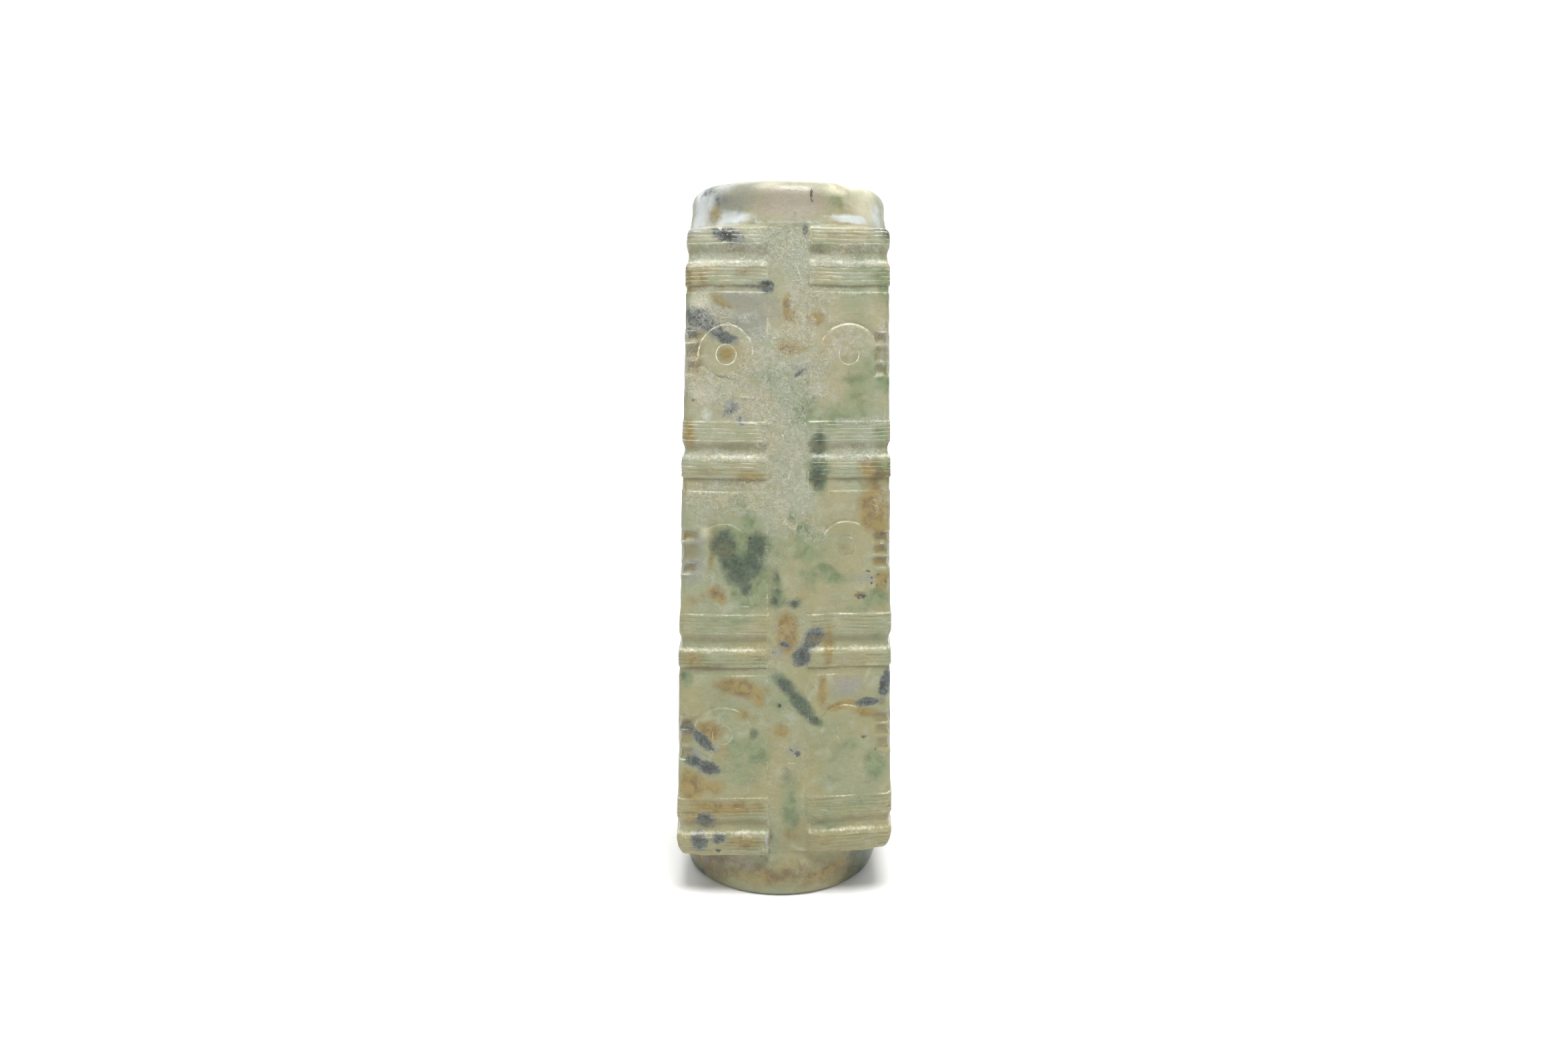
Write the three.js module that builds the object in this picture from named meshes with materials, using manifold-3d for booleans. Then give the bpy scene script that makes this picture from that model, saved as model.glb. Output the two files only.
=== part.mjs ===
// Jade cong: a tall squared tube of nephrite, round inside and square outside.
// One piece of stone. A round collar stands above and below a long body whose
// four faces are slightly bowed; each face carries a shallow upright channel,
// and each corner is cut into three tiers, every tier with a pair of bands
// above it, two drilled eyes and a small notched nose on the corner. A fourth
// pair of bands closes the lowest tier. A drilled bore runs right through and
// opens into a soft trumpet mouth at both ends.
//
// Millimetres, +Z up, front face towards -Y. The origin is on the ground,
// under the middle of the box that holds the piece.

import * as THREE from 'three';
import { mergeVertices } from 'three/addons/utils/BufferGeometryUtils.js';
import Module from 'manifold-3d';

// ---------------------------------------------------------------- sizes
const HEIGHT = 225.5;              // rim to rim

const COLLAR_TOP_R = 30.8;       // upper collar, near its rim
const COLLAR_TOP_NECK_R = 31.8;  // upper collar, where it flares into the body
const COLLAR_TOP_ROUND = 4.8;    // rounding of the upper rim, inwards
const COLLAR_TOP_DOME = 5.0;     // and downwards
const COLLAR_LOW_R = 33.5;       // lower collar
const COLLAR_LOW_NECK_R = 33.0;
const COLLAR_LOW_ROUND = 2.95;    // its long rounding towards the lower rim, inwards
const COLLAR_LOW_DOME = 9.0;      // and upwards

const BODY_LOW_Z = 16.1;         // under edge of the corner blocks
const BODY_TOP_Z = 211.5;        // upper edge of the corner blocks
const BODY_LOW_HALF = 34.5;      // half the width over the corners, low end
const BODY_TOP_HALF = 30.1;      // the same at the top: the body tapers upwards
const BOW_LOW = 1.3;             // how far each face swells at its middle
const BOW_TOP = 1.7;
const CORNER_ROUND = 2.2;
const BELLY = 0.25;              // the body is a trifle fuller half way up
const LOW_EDGE_ROUND = 4.3;      // worn rounding of the blocks' lowest corners
const TOP_EDGE_ROUND = 3.0;      // and of their uppest ones

const CHANNEL_HALF = 6.2;        // upright channel down the middle of a face
const CHANNEL_SIDE = 0.6;        // width of its worn side
const CHANNEL_DEPTH_MID = 0.3;   // its floor is a strip of the inner cylinder,
const CHANNEL_DEPTH_SIDE = 0.62; // so it lies deeper at the sides
const CHANNEL_OFF = [1.15, 0.5, -0.6, 0.3]; // hand-cut, so not quite centred

// pairs of bands, from the top: upper edge of the upper band, its under edge,
// upper and under edge of the lower band, end of the recess under it
const BAND_PAIRS = [
  [211.5, 206.5, 200.5, 194.9, 193.0],
  [154.2, 148.2, 142.7, 137.2, 133.3],
  [94.7, 88.4, 82.4, 77.9, 75.6],
  [35.4, 28.8, 22.7, 17.8, 16.1],
];
const FLUTE_DEPTH = 0.85;        // hollow between the two bands of a pair
const RECESS_DEPTH = 0.55;       // narrow recess under the lower band
const FIELD_DEPTH = 0.3;         // the eye field lies this much behind the bands
const EDGE_DROP = 0.4;           // height of the worn edges of bands and recess

const EYE_Z = [174.4, 115.6, 56.6];
const EYE_R = 8.2;
const EYE_RISE = 0.24;           // each eye is a low disc standing on its field
const EYE_SIDES = 14;

const NOSE_PITCH = 4.4;          // from one ridge of a nose to the next
const NOSE_RIDGES = 4;
const NOSE_DEPTH = 0.5;
const NOSE_REACH = 4.7;          // along each face from the corner

const BORE_MOUTH_FLAT_TOP = 23.6;  // inner edge of the flat rim
const BORE_MOUTH_FLAT_LOW = 24.4;
const BORE_NECK_R = 15.0;          // where the trumpet ends
const BORE_MID_R = 13.7;           // the two drillings meet half way up
const BORE_MOUTH_DEPTH = 11.5;
const BORE_SIDES = 28;

// the axis of the hand-drilled tube leans a little towards -X going down,
// and the lower collar is set over by a further small step
const LEAN_PER_MM = 0.0067;
const LOW_COLLAR_STEP = 1.2;
const CENTRE_SHIFT = 0.0264;       // brings the whole box over the origin
// the cut bands sag towards -X more and more near the low end
const SAG_MAX = 0.043;
const SAG_FROM_Z = 150;
const RIM_TILT = 0.0134;           // the upper rim stands a little higher at -X
const RIM_TILT_FROM_Z = 208;

// ---------------------------------------------------------------- helpers
const clamp01 = (t) => Math.min(1, Math.max(0, t));
const lerp = (a, b, t) => a + (b - a) * t;
const smooth = (a, b, x) => { const t = clamp01((x - a) / (b - a)); return t * t * (3 - 2 * t); };

const along = (z) => clamp01((z - BODY_LOW_Z) / (BODY_TOP_Z - BODY_LOW_Z));
const belly = (z) => BELLY * Math.sin(Math.PI * along(z));
const halfWidth = (z) => lerp(BODY_LOW_HALF, BODY_TOP_HALF, along(z)) + belly(z);
const bow = (z) => lerp(BOW_LOW, BOW_TOP, along(z));

// how far the corner block's surface lies behind its full face at a height
function bandDepth(z) {
  for (let i = 0; i < BAND_PAIRS.length; i++) {
    const [a, b, c, d, e] = BAND_PAIRS[i];
    const last = i === BAND_PAIRS.length - 1;
    if (z > a + EDGE_DROP) return FIELD_DEPTH;
    if (z > a) return i === 0 ? 0 : FIELD_DEPTH * (z - a) / EDGE_DROP;
    if (z >= b) return 0;
    if (z > c) { const t = (z - c) / (b - c); return FLUTE_DEPTH * Math.sin(Math.PI * t); }
    if (z >= d || last) return 0;
    if (z > d - EDGE_DROP) return RECESS_DEPTH * (d - z) / EDGE_DROP;
    if (z >= e) return RECESS_DEPTH;
    if (z > e - EDGE_DROP) return lerp(FIELD_DEPTH, RECESS_DEPTH, (z - e + EDGE_DROP) / EDGE_DROP);
  }
  return FIELD_DEPTH;
}

// three scallops between four ridges, on the corner at eye height
function noseDepth(z) {
  for (const ze of EYE_Z) {
    const half = NOSE_PITCH * (NOSE_RIDGES - 1) / 2;
    const t = (z - (ze - half)) / NOSE_PITCH;
    if (t > 0 && t < NOSE_RIDGES - 1) return NOSE_DEPTH * Math.pow(Math.sin(Math.PI * (t % 1)), 0.8);
  }
  return 0;
}

const axisX = (z) => LEAN_PER_MM * z - 0.15 - LOW_COLLAR_STEP * (1 - smooth(0, 11, z))
  - 0.8 * belly(z) + CENTRE_SHIFT;
const sag = (z) => SAG_MAX * Math.pow(clamp01(1 - z / SAG_FROM_Z), 1.2) * smooth(3, 15, z);

// turns a point of the front face round to face k and sets it on the leaning axis
function place(k, across, out, z) {
  const a = (k * Math.PI) / 2;
  const x = across * Math.cos(a) + out * Math.sin(a);
  const y = across * Math.sin(a) - out * Math.cos(a);
  return [x + axisX(z), y, z + (sag(z) - RIM_TILT * smooth(RIM_TILT_FROM_Z, RIM_TILT_FROM_Z + 12, z)) * x];
}

// ---------------------------------------------------------------- columns
// A column is one upright line on the outside. kind says what it crosses:
// channel floor, channel side, block, nose or corner.
const BLOCK_STEPS = 2;
const CORNER_STEPS = 2;
function halfFaceColumns(side) {
  const list = [{ kind: 'side', side }, { kind: 'edge', side }];
  for (let i = 1; i <= BLOCK_STEPS; i++) list.push({ kind: 'block', side, t: i / BLOCK_STEPS });
  for (let i = 0; i < CORNER_STEPS; i++) list.push({ kind: 'corner', side, t: i / CORNER_STEPS });
  return list;
}
function faceColumns() {
  const left = halfFaceColumns(-1).reverse();
  return [{ kind: 'diagonal' }, ...left, { kind: 'floor' }, ...halfFaceColumns(1)];
}

// across and out of a column's point, with the block's surface set back by depth
function section(k, col, z, depth) {
  const c = halfWidth(z), b = bow(z), off = CHANNEL_OFF[k] * (1 - 0.9 * along(z));
  const swell = (x) => b * (1 - (x / c) * (x / c));
  if (col.kind === 'diagonal') {
    const q = c - CORNER_ROUND * (1 - Math.SQRT1_2) - depth * Math.SQRT1_2;
    return [-q, q];
  }
  if (col.kind === 'corner') {
    const a = (Math.PI / 4) * col.t, r = CORNER_ROUND;
    const x = c - r + (r - depth) * Math.sin(a);
    return [col.side * x, c - r + (r - depth) * Math.cos(a) + swell(x) * (1 - col.t)];
  }
  const edge = off + col.side * CHANNEL_HALF;
  if (col.kind === 'floor') return [off, c + swell(off) - CHANNEL_DEPTH_MID];
  if (col.kind === 'side') {
    const x = edge - col.side * CHANNEL_SIDE;
    return [x, c + swell(x) - CHANNEL_DEPTH_SIDE];
  }
  if (col.kind === 'edge') return [edge, c + swell(edge) - Math.min(depth, CHANNEL_DEPTH_SIDE * 0.9)];
  const end = col.side * (c - NOSE_REACH);
  const x = lerp(edge, end, col.t);
  return [x, c + swell(x) - depth];
}

// the channel floor runs down into the lower collar in one long roll
function channelOut(out, z) {
  return lerp(COLLAR_LOW_NECK_R, out, smooth(11, 31, z));
}

// the end edges of the blocks are worn round, most of all on the corners
function edgeWear(col, z) {
  const share = { edge: 0.15, block: 0.3, corner: 1, diagonal: 1.15 }[col.kind];
  const fall = (t, size) => size * (1 - Math.sqrt(Math.max(0, 1 - t * t)));
  const low = clamp01((BODY_LOW_Z + LOW_EDGE_ROUND * 1.6 - z) / (LOW_EDGE_ROUND * 1.6));
  const top = clamp01((z - BODY_TOP_Z + TOP_EDGE_ROUND) / TOP_EDGE_ROUND);
  return share * (fall(low, LOW_EDGE_ROUND * 0.75) + fall(top, TOP_EDGE_ROUND * 0.6));
}

// heights that a column needs, from the under edge of the blocks upwards
function blockLevels(withNose) {
  const zs = [];
  BAND_PAIRS.forEach(([a, b, c, d, e], i) => {
    const flute = [0.2, 0.5, 0.8].map((t) => lerp(c, b, t));
    zs.push(b, ...flute, c);
    if (i > 0) zs.push(a, a + EDGE_DROP); else zs.push(a - 0.9, a - 0.25);
    if (i < BAND_PAIRS.length - 1) zs.push(d, d - EDGE_DROP, e, e - EDGE_DROP);
    else zs.push(d, d + 1.6);
  });
  if (withNose) {
    for (const ze of EYE_Z) {
      const low = ze - NOSE_PITCH * (NOSE_RIDGES - 1) / 2;
      for (let i = 0; i < NOSE_RIDGES; i++) {
        zs.push(low + i * NOSE_PITCH);
        if (i < NOSE_RIDGES - 1) zs.push(low + (i + 0.28) * NOSE_PITCH, low + (i + 0.72) * NOSE_PITCH);
      }
    }
  }
  return zs.sort((p, q) => p - q);
}
const CHANNEL_LEVELS = [13, 17, 21, 26, 31, 60, 95, 130, 165, 195, 207, 211];

function buildColumn(k, col) {
  const pts = [];
  const inChannel = col.kind === 'floor' || col.kind === 'side';
  const ref = section(k, col, BODY_LOW_Z, 0), refTop = section(k, col, BODY_TOP_Z, 0);
  const ring = (from, r, z) => {
    const l = Math.hypot(from[0], from[1]);
    pts.push(place(k, (from[0] / l) * r, (from[1] / l) * r, z));
  };
  // lower collar
  for (const a of [90, 60, 30, 0]) {
    const q = (a * Math.PI) / 180;
    ring(ref, COLLAR_LOW_R - COLLAR_LOW_ROUND * (1 - Math.cos(q)), COLLAR_LOW_DOME * (1 - Math.sin(q)));
  }
  if (inChannel) {
    for (const z of CHANNEL_LEVELS) {
      const [x, y] = section(k, col, z, 0);
      pts.push(place(k, x, channelOut(y, z), z));
    }
  } else {
    ring(ref, COLLAR_LOW_NECK_R, BODY_LOW_Z - 1.2);
    // worn under edge of the blocks, then the tiers, then the upper ledge
    const shoulder = (z, inset) => {
      const [x, y] = section(k, col, z, 0);
      const l = Math.hypot(x, y), r = z < 100 ? COLLAR_LOW_NECK_R : COLLAR_TOP_NECK_R;
      const f = (l - Math.min(inset, Math.max(0, (l - r) * 0.8))) / l;
      pts.push(place(k, x * f, y * f, z));
    };
    shoulder(BODY_LOW_Z - 0.2, LOW_EDGE_ROUND);
    shoulder(BODY_LOW_Z + 0.5, LOW_EDGE_ROUND * 0.42);
    const nose = col.kind === 'corner' || col.kind === 'diagonal';
    for (const z of blockLevels(nose)) {
      let d = bandDepth(z);
      if (nose) d = Math.max(d, bandDepth(z) + noseDepth(z));
      const [x, y] = section(k, col, z, d + edgeWear(col, z));
      pts.push(place(k, x, y, z));
    }
    shoulder(BODY_TOP_Z + 0.15, 1.0);
    shoulder(BODY_TOP_Z + 0.9, 2.4);
    ring(refTop, COLLAR_TOP_NECK_R, BODY_TOP_Z + 1.9);
  }
  if (inChannel) ring(refTop, COLLAR_TOP_NECK_R, BODY_TOP_Z + 2.5);
  // upper collar
  ring(refTop, lerp(COLLAR_TOP_NECK_R, COLLAR_TOP_R, 0.8), BODY_TOP_Z + 5);
  ring(refTop, COLLAR_TOP_R, HEIGHT - COLLAR_TOP_DOME);
  for (const a of [35, 65]) {
    const q = (a * Math.PI) / 180;
    ring(refTop, COLLAR_TOP_R - COLLAR_TOP_ROUND * (1 - Math.cos(q)), HEIGHT - COLLAR_TOP_DOME * (1 - Math.sin(q)));
  }
  ring(refTop, COLLAR_TOP_R - COLLAR_TOP_ROUND, HEIGHT);
  return pts;
}

// ---------------------------------------------------------------- outer solid
function outerGeometry() {
  const positions = [], faces = [];
  const columns = [];
  for (let k = 0; k < 4; k++) {
    for (const col of faceColumns()) {
      columns.push(buildColumn(k, col).map((p) => (positions.push(...p), positions.length / 3 - 1)));
    }
  }
  const height = (i) => positions[3 * i + 2];
  // joins two neighbouring columns, climbing whichever side lies lower
  const zip = (left, right) => {
    let i = 0, j = 0;
    while (i < left.length - 1 || j < right.length - 1) {
      const goLeft = j === right.length - 1
        || (i < left.length - 1 && height(left[i + 1]) <= height(right[j + 1]));
      if (goLeft) { faces.push(left[i], right[j], left[i + 1]); i++; }
      else { faces.push(left[i], right[j], right[j + 1]); j++; }
    }
  };
  columns.forEach((col, i) => zip(col, columns[(i + 1) % columns.length]));
  // flat ends
  for (const top of [false, true]) {
    const rim = columns.map((col) => (top ? col[col.length - 1] : col[0]));
    const z = top ? HEIGHT : 0;
    positions.push(axisX(z), 0, z);
    const mid = positions.length / 3 - 1;
    rim.forEach((v, i) => {
      const w = rim[(i + 1) % rim.length];
      if (top) faces.push(v, w, mid); else faces.push(w, v, mid);
    });
  }
  const g = new THREE.BufferGeometry();
  g.setAttribute('position', new THREE.Float32BufferAttribute(positions, 3));
  g.setIndex(faces);
  return g;
}

// ---------------------------------------------------------------- bore and eyes
function boreGeometry() {
  const profile = [];
  const add = (r, z) => profile.push(new THREE.Vector2(r, z));
  add(0, -2);
  add(BORE_MOUTH_FLAT_LOW, -2);
  const steps = 4;
  for (let i = 0; i <= steps; i++) {
    const a = (i / steps) * (Math.PI / 2);
    add(BORE_NECK_R + (BORE_MOUTH_FLAT_LOW - BORE_NECK_R) * (1 - Math.sin(a)),
      BORE_MOUTH_DEPTH * (1 - Math.cos(a)));
  }
  add(lerp(BORE_NECK_R, BORE_MID_R, 0.6), 40);
  add(BORE_MID_R, HEIGHT / 2 - 3);
  add(BORE_MID_R - 0.5, HEIGHT / 2);
  add(BORE_MID_R, HEIGHT / 2 + 3);
  add(lerp(BORE_NECK_R, BORE_MID_R, 0.6), HEIGHT - 40);
  for (let i = steps; i >= 0; i--) {
    const a = (i / steps) * (Math.PI / 2);
    add(BORE_NECK_R + (BORE_MOUTH_FLAT_TOP - BORE_NECK_R) * (1 - Math.sin(a)),
      HEIGHT - BORE_MOUTH_DEPTH * (1 - Math.cos(a)));
  }
  add(BORE_MOUTH_FLAT_TOP, HEIGHT + 2);
  add(0, HEIGHT + 2);
  const g = new THREE.LatheGeometry(profile, BORE_SIDES);
  g.rotateX(Math.PI / 2);

  // the bore follows the leaning axis
  const p = g.attributes.position;
  for (let i = 0; i < p.count; i++) {
    const z = Math.min(HEIGHT, Math.max(0, p.getZ(i)));
    const line = lerp(axisX(0), axisX(HEIGHT), z / HEIGHT);
    const lift = RIM_TILT * smooth(RIM_TILT_FROM_Z, RIM_TILT_FROM_Z + 12, p.getZ(i));
    p.setZ(i, p.getZ(i) - lift * p.getX(i));
    p.setX(i, p.getX(i) + line);
  }
  return g;
}

function eyeDisc() {
  const g = new THREE.CylinderGeometry(EYE_R - 0.15, EYE_R + 0.1, EYE_RISE + 1, EYE_SIDES);
  g.translate(0, (EYE_RISE - 1) / 2, 0);
  return g;
}

// the eyes: centre of each block's face, turned square to the surface there
function eyeMatrices() {
  const list = [];
  for (let k = 0; k < 4; k++) {
    for (const ze of EYE_Z) {
      for (const side of [-1, 1]) {
        const at = (u, z) => {
          const c = halfWidth(z);
          const x = side * lerp(CHANNEL_HALF + side * CHANNEL_OFF[k] * (1 - 0.9 * along(z)), c, 0.5) + u;
          return new THREE.Vector3(...place(k, x, c + bow(z) * (1 - (x / c) ** 2) - FIELD_DEPTH, z));
        };
        const p = at(0, ze);
        const du = at(0.5, ze).sub(at(-0.5, ze)).normalize();
        const dz = at(0, ze + 0.5).sub(at(0, ze - 0.5)).normalize();
        const n = new THREE.Vector3().crossVectors(du, dz).normalize();
        const w = new THREE.Vector3().crossVectors(du, n).normalize();
        list.push(new THREE.Matrix4().makeBasis(du, n, w).setPosition(p));
      }
    }
  }
  return list;
}

// ---------------------------------------------------------------- build
const wasm = await Module();
wasm.setup();

function toSolid(geometry) {
  const g = geometry.clone();
  g.deleteAttribute('normal');
  g.deleteAttribute('uv');
  const m = mergeVertices(g, 1e-4);
  // leaves out the slivers that a lathe makes where its profile meets the axis
  const idx = [];
  for (let i = 0; i < m.index.count; i += 3) {
    const [a, b, c] = [m.index.getX(i), m.index.getX(i + 1), m.index.getX(i + 2)];
    if (a !== b && b !== c && c !== a) idx.push(a, b, c);
  }
  const solid = new wasm.Manifold(new wasm.Mesh({
    numProp: 3,
    vertProperties: new Float32Array(m.attributes.position.array),
    triVerts: new Uint32Array(idx),
  }));
  if (solid.volume() < 0) throw new Error('inside out');
  return solid;
}

let stone = toSolid(outerGeometry()).subtract(toSolid(boreGeometry()));
for (const matrix of eyeMatrices()) {
  stone = stone.add(toSolid(eyeDisc().applyMatrix4(matrix)));
}

const out = stone.getMesh();
const geometry = new THREE.BufferGeometry();
const xyz = new Float32Array((out.vertProperties.length / out.numProp) * 3);
for (let i = 0; i < xyz.length / 3; i++) {
  for (let j = 0; j < 3; j++) xyz[3 * i + j] = out.vertProperties[out.numProp * i + j];
}
geometry.setAttribute('position', new THREE.BufferAttribute(xyz, 3));
geometry.setIndex(Array.from(out.triVerts));
geometry.computeVertexNormals();

const jade = new THREE.MeshStandardMaterial({ name: 'jade', color: 0xb9b795, roughness: 0.42, metalness: 0 });
const cong = new THREE.Mesh(geometry, jade);
cong.name = 'jade_cong';

const group = new THREE.Group();
group.add(cong);
export default group;
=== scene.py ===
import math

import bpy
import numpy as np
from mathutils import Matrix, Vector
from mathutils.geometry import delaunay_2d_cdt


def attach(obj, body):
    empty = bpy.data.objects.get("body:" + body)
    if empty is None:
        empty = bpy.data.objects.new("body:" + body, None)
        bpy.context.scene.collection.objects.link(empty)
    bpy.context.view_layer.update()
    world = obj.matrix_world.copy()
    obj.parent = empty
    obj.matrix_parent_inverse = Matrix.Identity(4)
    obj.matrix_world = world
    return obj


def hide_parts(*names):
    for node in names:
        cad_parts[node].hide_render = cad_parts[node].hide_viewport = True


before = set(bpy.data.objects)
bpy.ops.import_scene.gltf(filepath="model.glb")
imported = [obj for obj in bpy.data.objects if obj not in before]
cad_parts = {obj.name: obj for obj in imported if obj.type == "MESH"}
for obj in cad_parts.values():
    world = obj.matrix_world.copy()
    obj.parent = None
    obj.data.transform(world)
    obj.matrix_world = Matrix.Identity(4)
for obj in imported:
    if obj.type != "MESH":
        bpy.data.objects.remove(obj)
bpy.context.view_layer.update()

# Jade cong. The CAD solid "jade_cong" is replaced by one closed, finely cut
# mesh of the same stone: the same sizes and rules as the CAD, plus the worn
# band steps, the cut lines, drilled eye rings, nose scallops, chips and scars.
# All sizes below are millimetres; the mesh is scaled to metres at the end.

# ---------------------------------------------------------------- sizes (as in the CAD)
HEIGHT = 225.5
COLLAR_TOP_R, COLLAR_TOP_NECK_R, COLLAR_TOP_ROUND, COLLAR_TOP_DOME = 30.8, 31.8, 4.8, 5.0
COLLAR_LOW_R, COLLAR_LOW_NECK_R, COLLAR_LOW_ROUND, COLLAR_LOW_DOME = 33.5, 33.0, 2.95, 9.0
BODY_LOW_Z, BODY_TOP_Z = 16.1, 211.5
BODY_LOW_HALF, BODY_TOP_HALF = 34.5, 30.1
BOW_LOW, BOW_TOP = 1.3, 1.7
CORNER_ROUND = 2.2
BELLY = 0.25
LOW_EDGE_ROUND, TOP_EDGE_ROUND = 4.3, 3.0
CHANNEL_HALF = 6.2
CHANNEL_DEPTH_MID, CHANNEL_DEPTH_SIDE = 0.3, 0.62
CHANNEL_OFF = np.array([1.15, 0.5, -0.6, 0.3])
BAND_PAIRS = [
    (211.5, 206.5, 200.5, 194.9, 193.0),
    (154.2, 148.2, 142.7, 137.2, 133.3),
    (94.7, 88.4, 82.4, 77.9, 75.6),
    (35.4, 28.8, 22.7, 17.8, 16.1),
]
FLUTE_DEPTH, RECESS_DEPTH, FIELD_DEPTH = 0.98, 0.55, 0.3
EYE_Z = (174.4, 115.6, 56.6)
EYE_R, PUPIL_R = 8.2, 3.0
NOSE_REACH = 4.7
LEAN_PER_MM, LOW_COLLAR_STEP, CENTRE_SHIFT = 0.0067, 1.2, 0.0264
SAG_MAX, SAG_FROM_Z = 0.043, 150.0
RIM_TILT, RIM_TILT_FROM_Z = 0.0134, 208.0
MOUTH_TOP, MOUTH_LOW = 23.6, 24.4
BORE_NECK_R, BORE_MID_R, MOUTH_DEPTH = 15.0, 13.7, 11.5

# sheet coordinates of one face: q runs round, w runs up
Q_GROOVE, Q_BLOCK, Q_END = 6.2, 32.2, 34.2
Q_EYE = 20.4

# ridges of the four noses (one list for each corner and tier), counted
# anticlockwise from the front right corner
NOSES = [
    [(181.0, 177.0, 171.6, 167.6), (120.3, 116.8, 112.8, 108.8), (62.9, 58.8, 54.6, 49.7)],
    [(180.6, 176.6, 172.0, 168.0), (121.8, 117.6, 113.2, 109.2), (62.8, 58.9, 54.0, 50.0)],
    [(181.2, 176.4, 172.2, 167.8), (122.0, 117.4, 113.6, 109.4), (63.0, 58.6, 54.6, 50.4)],
    [(181.5, 178.0, 172.8, 168.2), (121.3, 117.4, 110.9, 107.4), (61.9, 58.0, 52.7, 48.1)],
]

# each eye: face, tier, side, across from the axis, height, radius of the outer
# ring, how far that ring's middle is above the pupil's, worn arcs of the outer
# ring, which also carry its painted highlight and the painted shade just outside
# it (from, to, strength; degrees from 3 o'clock, anticlockwise) and arcs of
# the pupil ring
EYES = [
    (0, 0, -1, -18.3, 174.4, 7.7, 1, [(-15, 195, 1.0), (195, 262, 0.45), (262, 345, 0.12)], [(0, 360, 0.95)]),
    (0, 0, 1, 18.6, 174.4, 9, 0, [(18, 158, 0.95), (-58, 18, 0.6), (158, 302, 0.1)], [(150, 385, 0.95), (25, 150, 0.35)]),
    (0, 1, -1, -19.0, 115.4, 7.6, 0.3, [(35, 165, 0.6), (165, 395, 0.12)], [(90, 320, 0.55), (320, 450, 0.3)]),
    (0, 1, 1, 18.7, 115.9, 7.8, 0, [(55, 158, 1.0), (158, 415, 0.2)], [(0, 360, 1.0)]),
    (0, 2, -1, -19.6, 56.2, 8.7, 0.2, [(0, 185, 0.9), (185, 360, 0.15)], [(0, 360, 1.0)]),
    (0, 2, 1, 19.2, 56.4, 8.5, 0.2, [(20, 160, 0.9), (160, 380, 0.25)], [(75, 285, 0.95), (285, 435, 0.25)]),
    (1, 0, -1, -18.2, 174.0, 7.9, 0.3, [(30, 190, 0.8), (190, 390, 0.2)], [(0, 360, 0.8)]),
    (1, 0, 1, 18.0, 174.8, 8.6, 0, [(-20, 150, 0.9), (150, 340, 0.2)], [(40, 300, 0.9)]),
    (1, 1, -1, -18.6, 115.2, 8.1, -0.2, [(10, 170, 0.9), (170, 370, 0.25)], [(0, 360, 0.9)]),
    (1, 1, 1, 19.0, 116.2, 7.7, 0.4, [(60, 240, 0.7), (240, 420, 0.2)], [(120, 420, 0.8)]),
    (1, 2, -1, -19.4, 56.8, 8.8, 0, [(0, 200, 0.85), (200, 360, 0.15)], [(0, 360, 0.9)]),
    (1, 2, 1, 19.3, 56.0, 8.3, 0.2, [(20, 140, 0.9), (140, 380, 0.3)], [(0, 250, 0.9)]),
    (2, 0, -1, -18.4, 174.8, 8, 0, [(10, 170, 0.9), (170, 370, 0.2)], [(0, 360, 0.9)]),
    (2, 0, 1, 18.1, 174.0, 8.7, 0.3, [(40, 200, 0.8), (200, 400, 0.2)], [(60, 360, 0.8)]),
    (2, 1, -1, -18.8, 116.0, 7.8, 0, [(-10, 150, 0.8), (150, 350, 0.25)], [(0, 360, 0.7)]),
    (2, 1, 1, 18.6, 115.2, 8.2, -0.2, [(20, 180, 1.0), (180, 380, 0.2)], [(0, 300, 0.9)]),
    (2, 2, -1, -19.2, 56.4, 8.5, 0.2, [(30, 160, 0.9), (160, 390, 0.2)], [(90, 400, 0.9)]),
    (2, 2, 1, 19.5, 57.0, 8.1, 0, [(0, 170, 0.8), (170, 360, 0.2)], [(0, 360, 0.9)]),
    (3, 0, -1, -18.0, 174.2, 8.6, 0.2, [(15, 175, 0.9), (175, 375, 0.2)], [(0, 360, 0.8)]),
    (3, 0, 1, 18.4, 174.6, 7.8, 0, [(0, 160, 0.8), (160, 360, 0.2)], [(20, 280, 0.9)]),
    (3, 1, -1, -18.9, 115.8, 8.3, 0.3, [(40, 190, 0.8), (190, 400, 0.25)], [(0, 360, 0.9)]),
    (3, 1, 1, 18.5, 115.4, 8, 0, [(0, 150, 0.9), (150, 360, 0.2)], [(140, 430, 0.8)]),
    (3, 2, -1, -19.5, 56.2, 8.4, -0.2, [(20, 200, 0.9), (200, 380, 0.2)], [(0, 360, 0.9)]),
    (3, 2, 1, 19.2, 56.8, 8.2, 0.1, [(10, 150, 0.8), (150, 370, 0.2)], [(60, 300, 0.9)]),
]


# ---------------------------------------------------------------- helpers
def clamp01(t):
    return np.clip(t, 0.0, 1.0)


def smooth(a, b, x):
    t = clamp01((x - a) / (b - a))
    return t * t * (3 - 2 * t)


def lerp(a, b, t):
    return a + (b - a) * t


def along(z):
    return clamp01((z - BODY_LOW_Z) / (BODY_TOP_Z - BODY_LOW_Z))


def belly(z):
    return BELLY * np.sin(np.pi * along(z))


def half_width(z):
    return lerp(BODY_LOW_HALF, BODY_TOP_HALF, along(z)) + belly(z)


def bow(z):
    return lerp(BOW_LOW, BOW_TOP, along(z))


def axis_x(z):
    return (LEAN_PER_MM * z - 0.15 - LOW_COLLAR_STEP * (1 - smooth(0, 11, z))
            - 0.8 * belly(z) + CENTRE_SHIFT)


def sag(z):
    return SAG_MAX * np.power(clamp01(1 - z / SAG_FROM_Z), 1.2) * smooth(3, 15, z)


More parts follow.
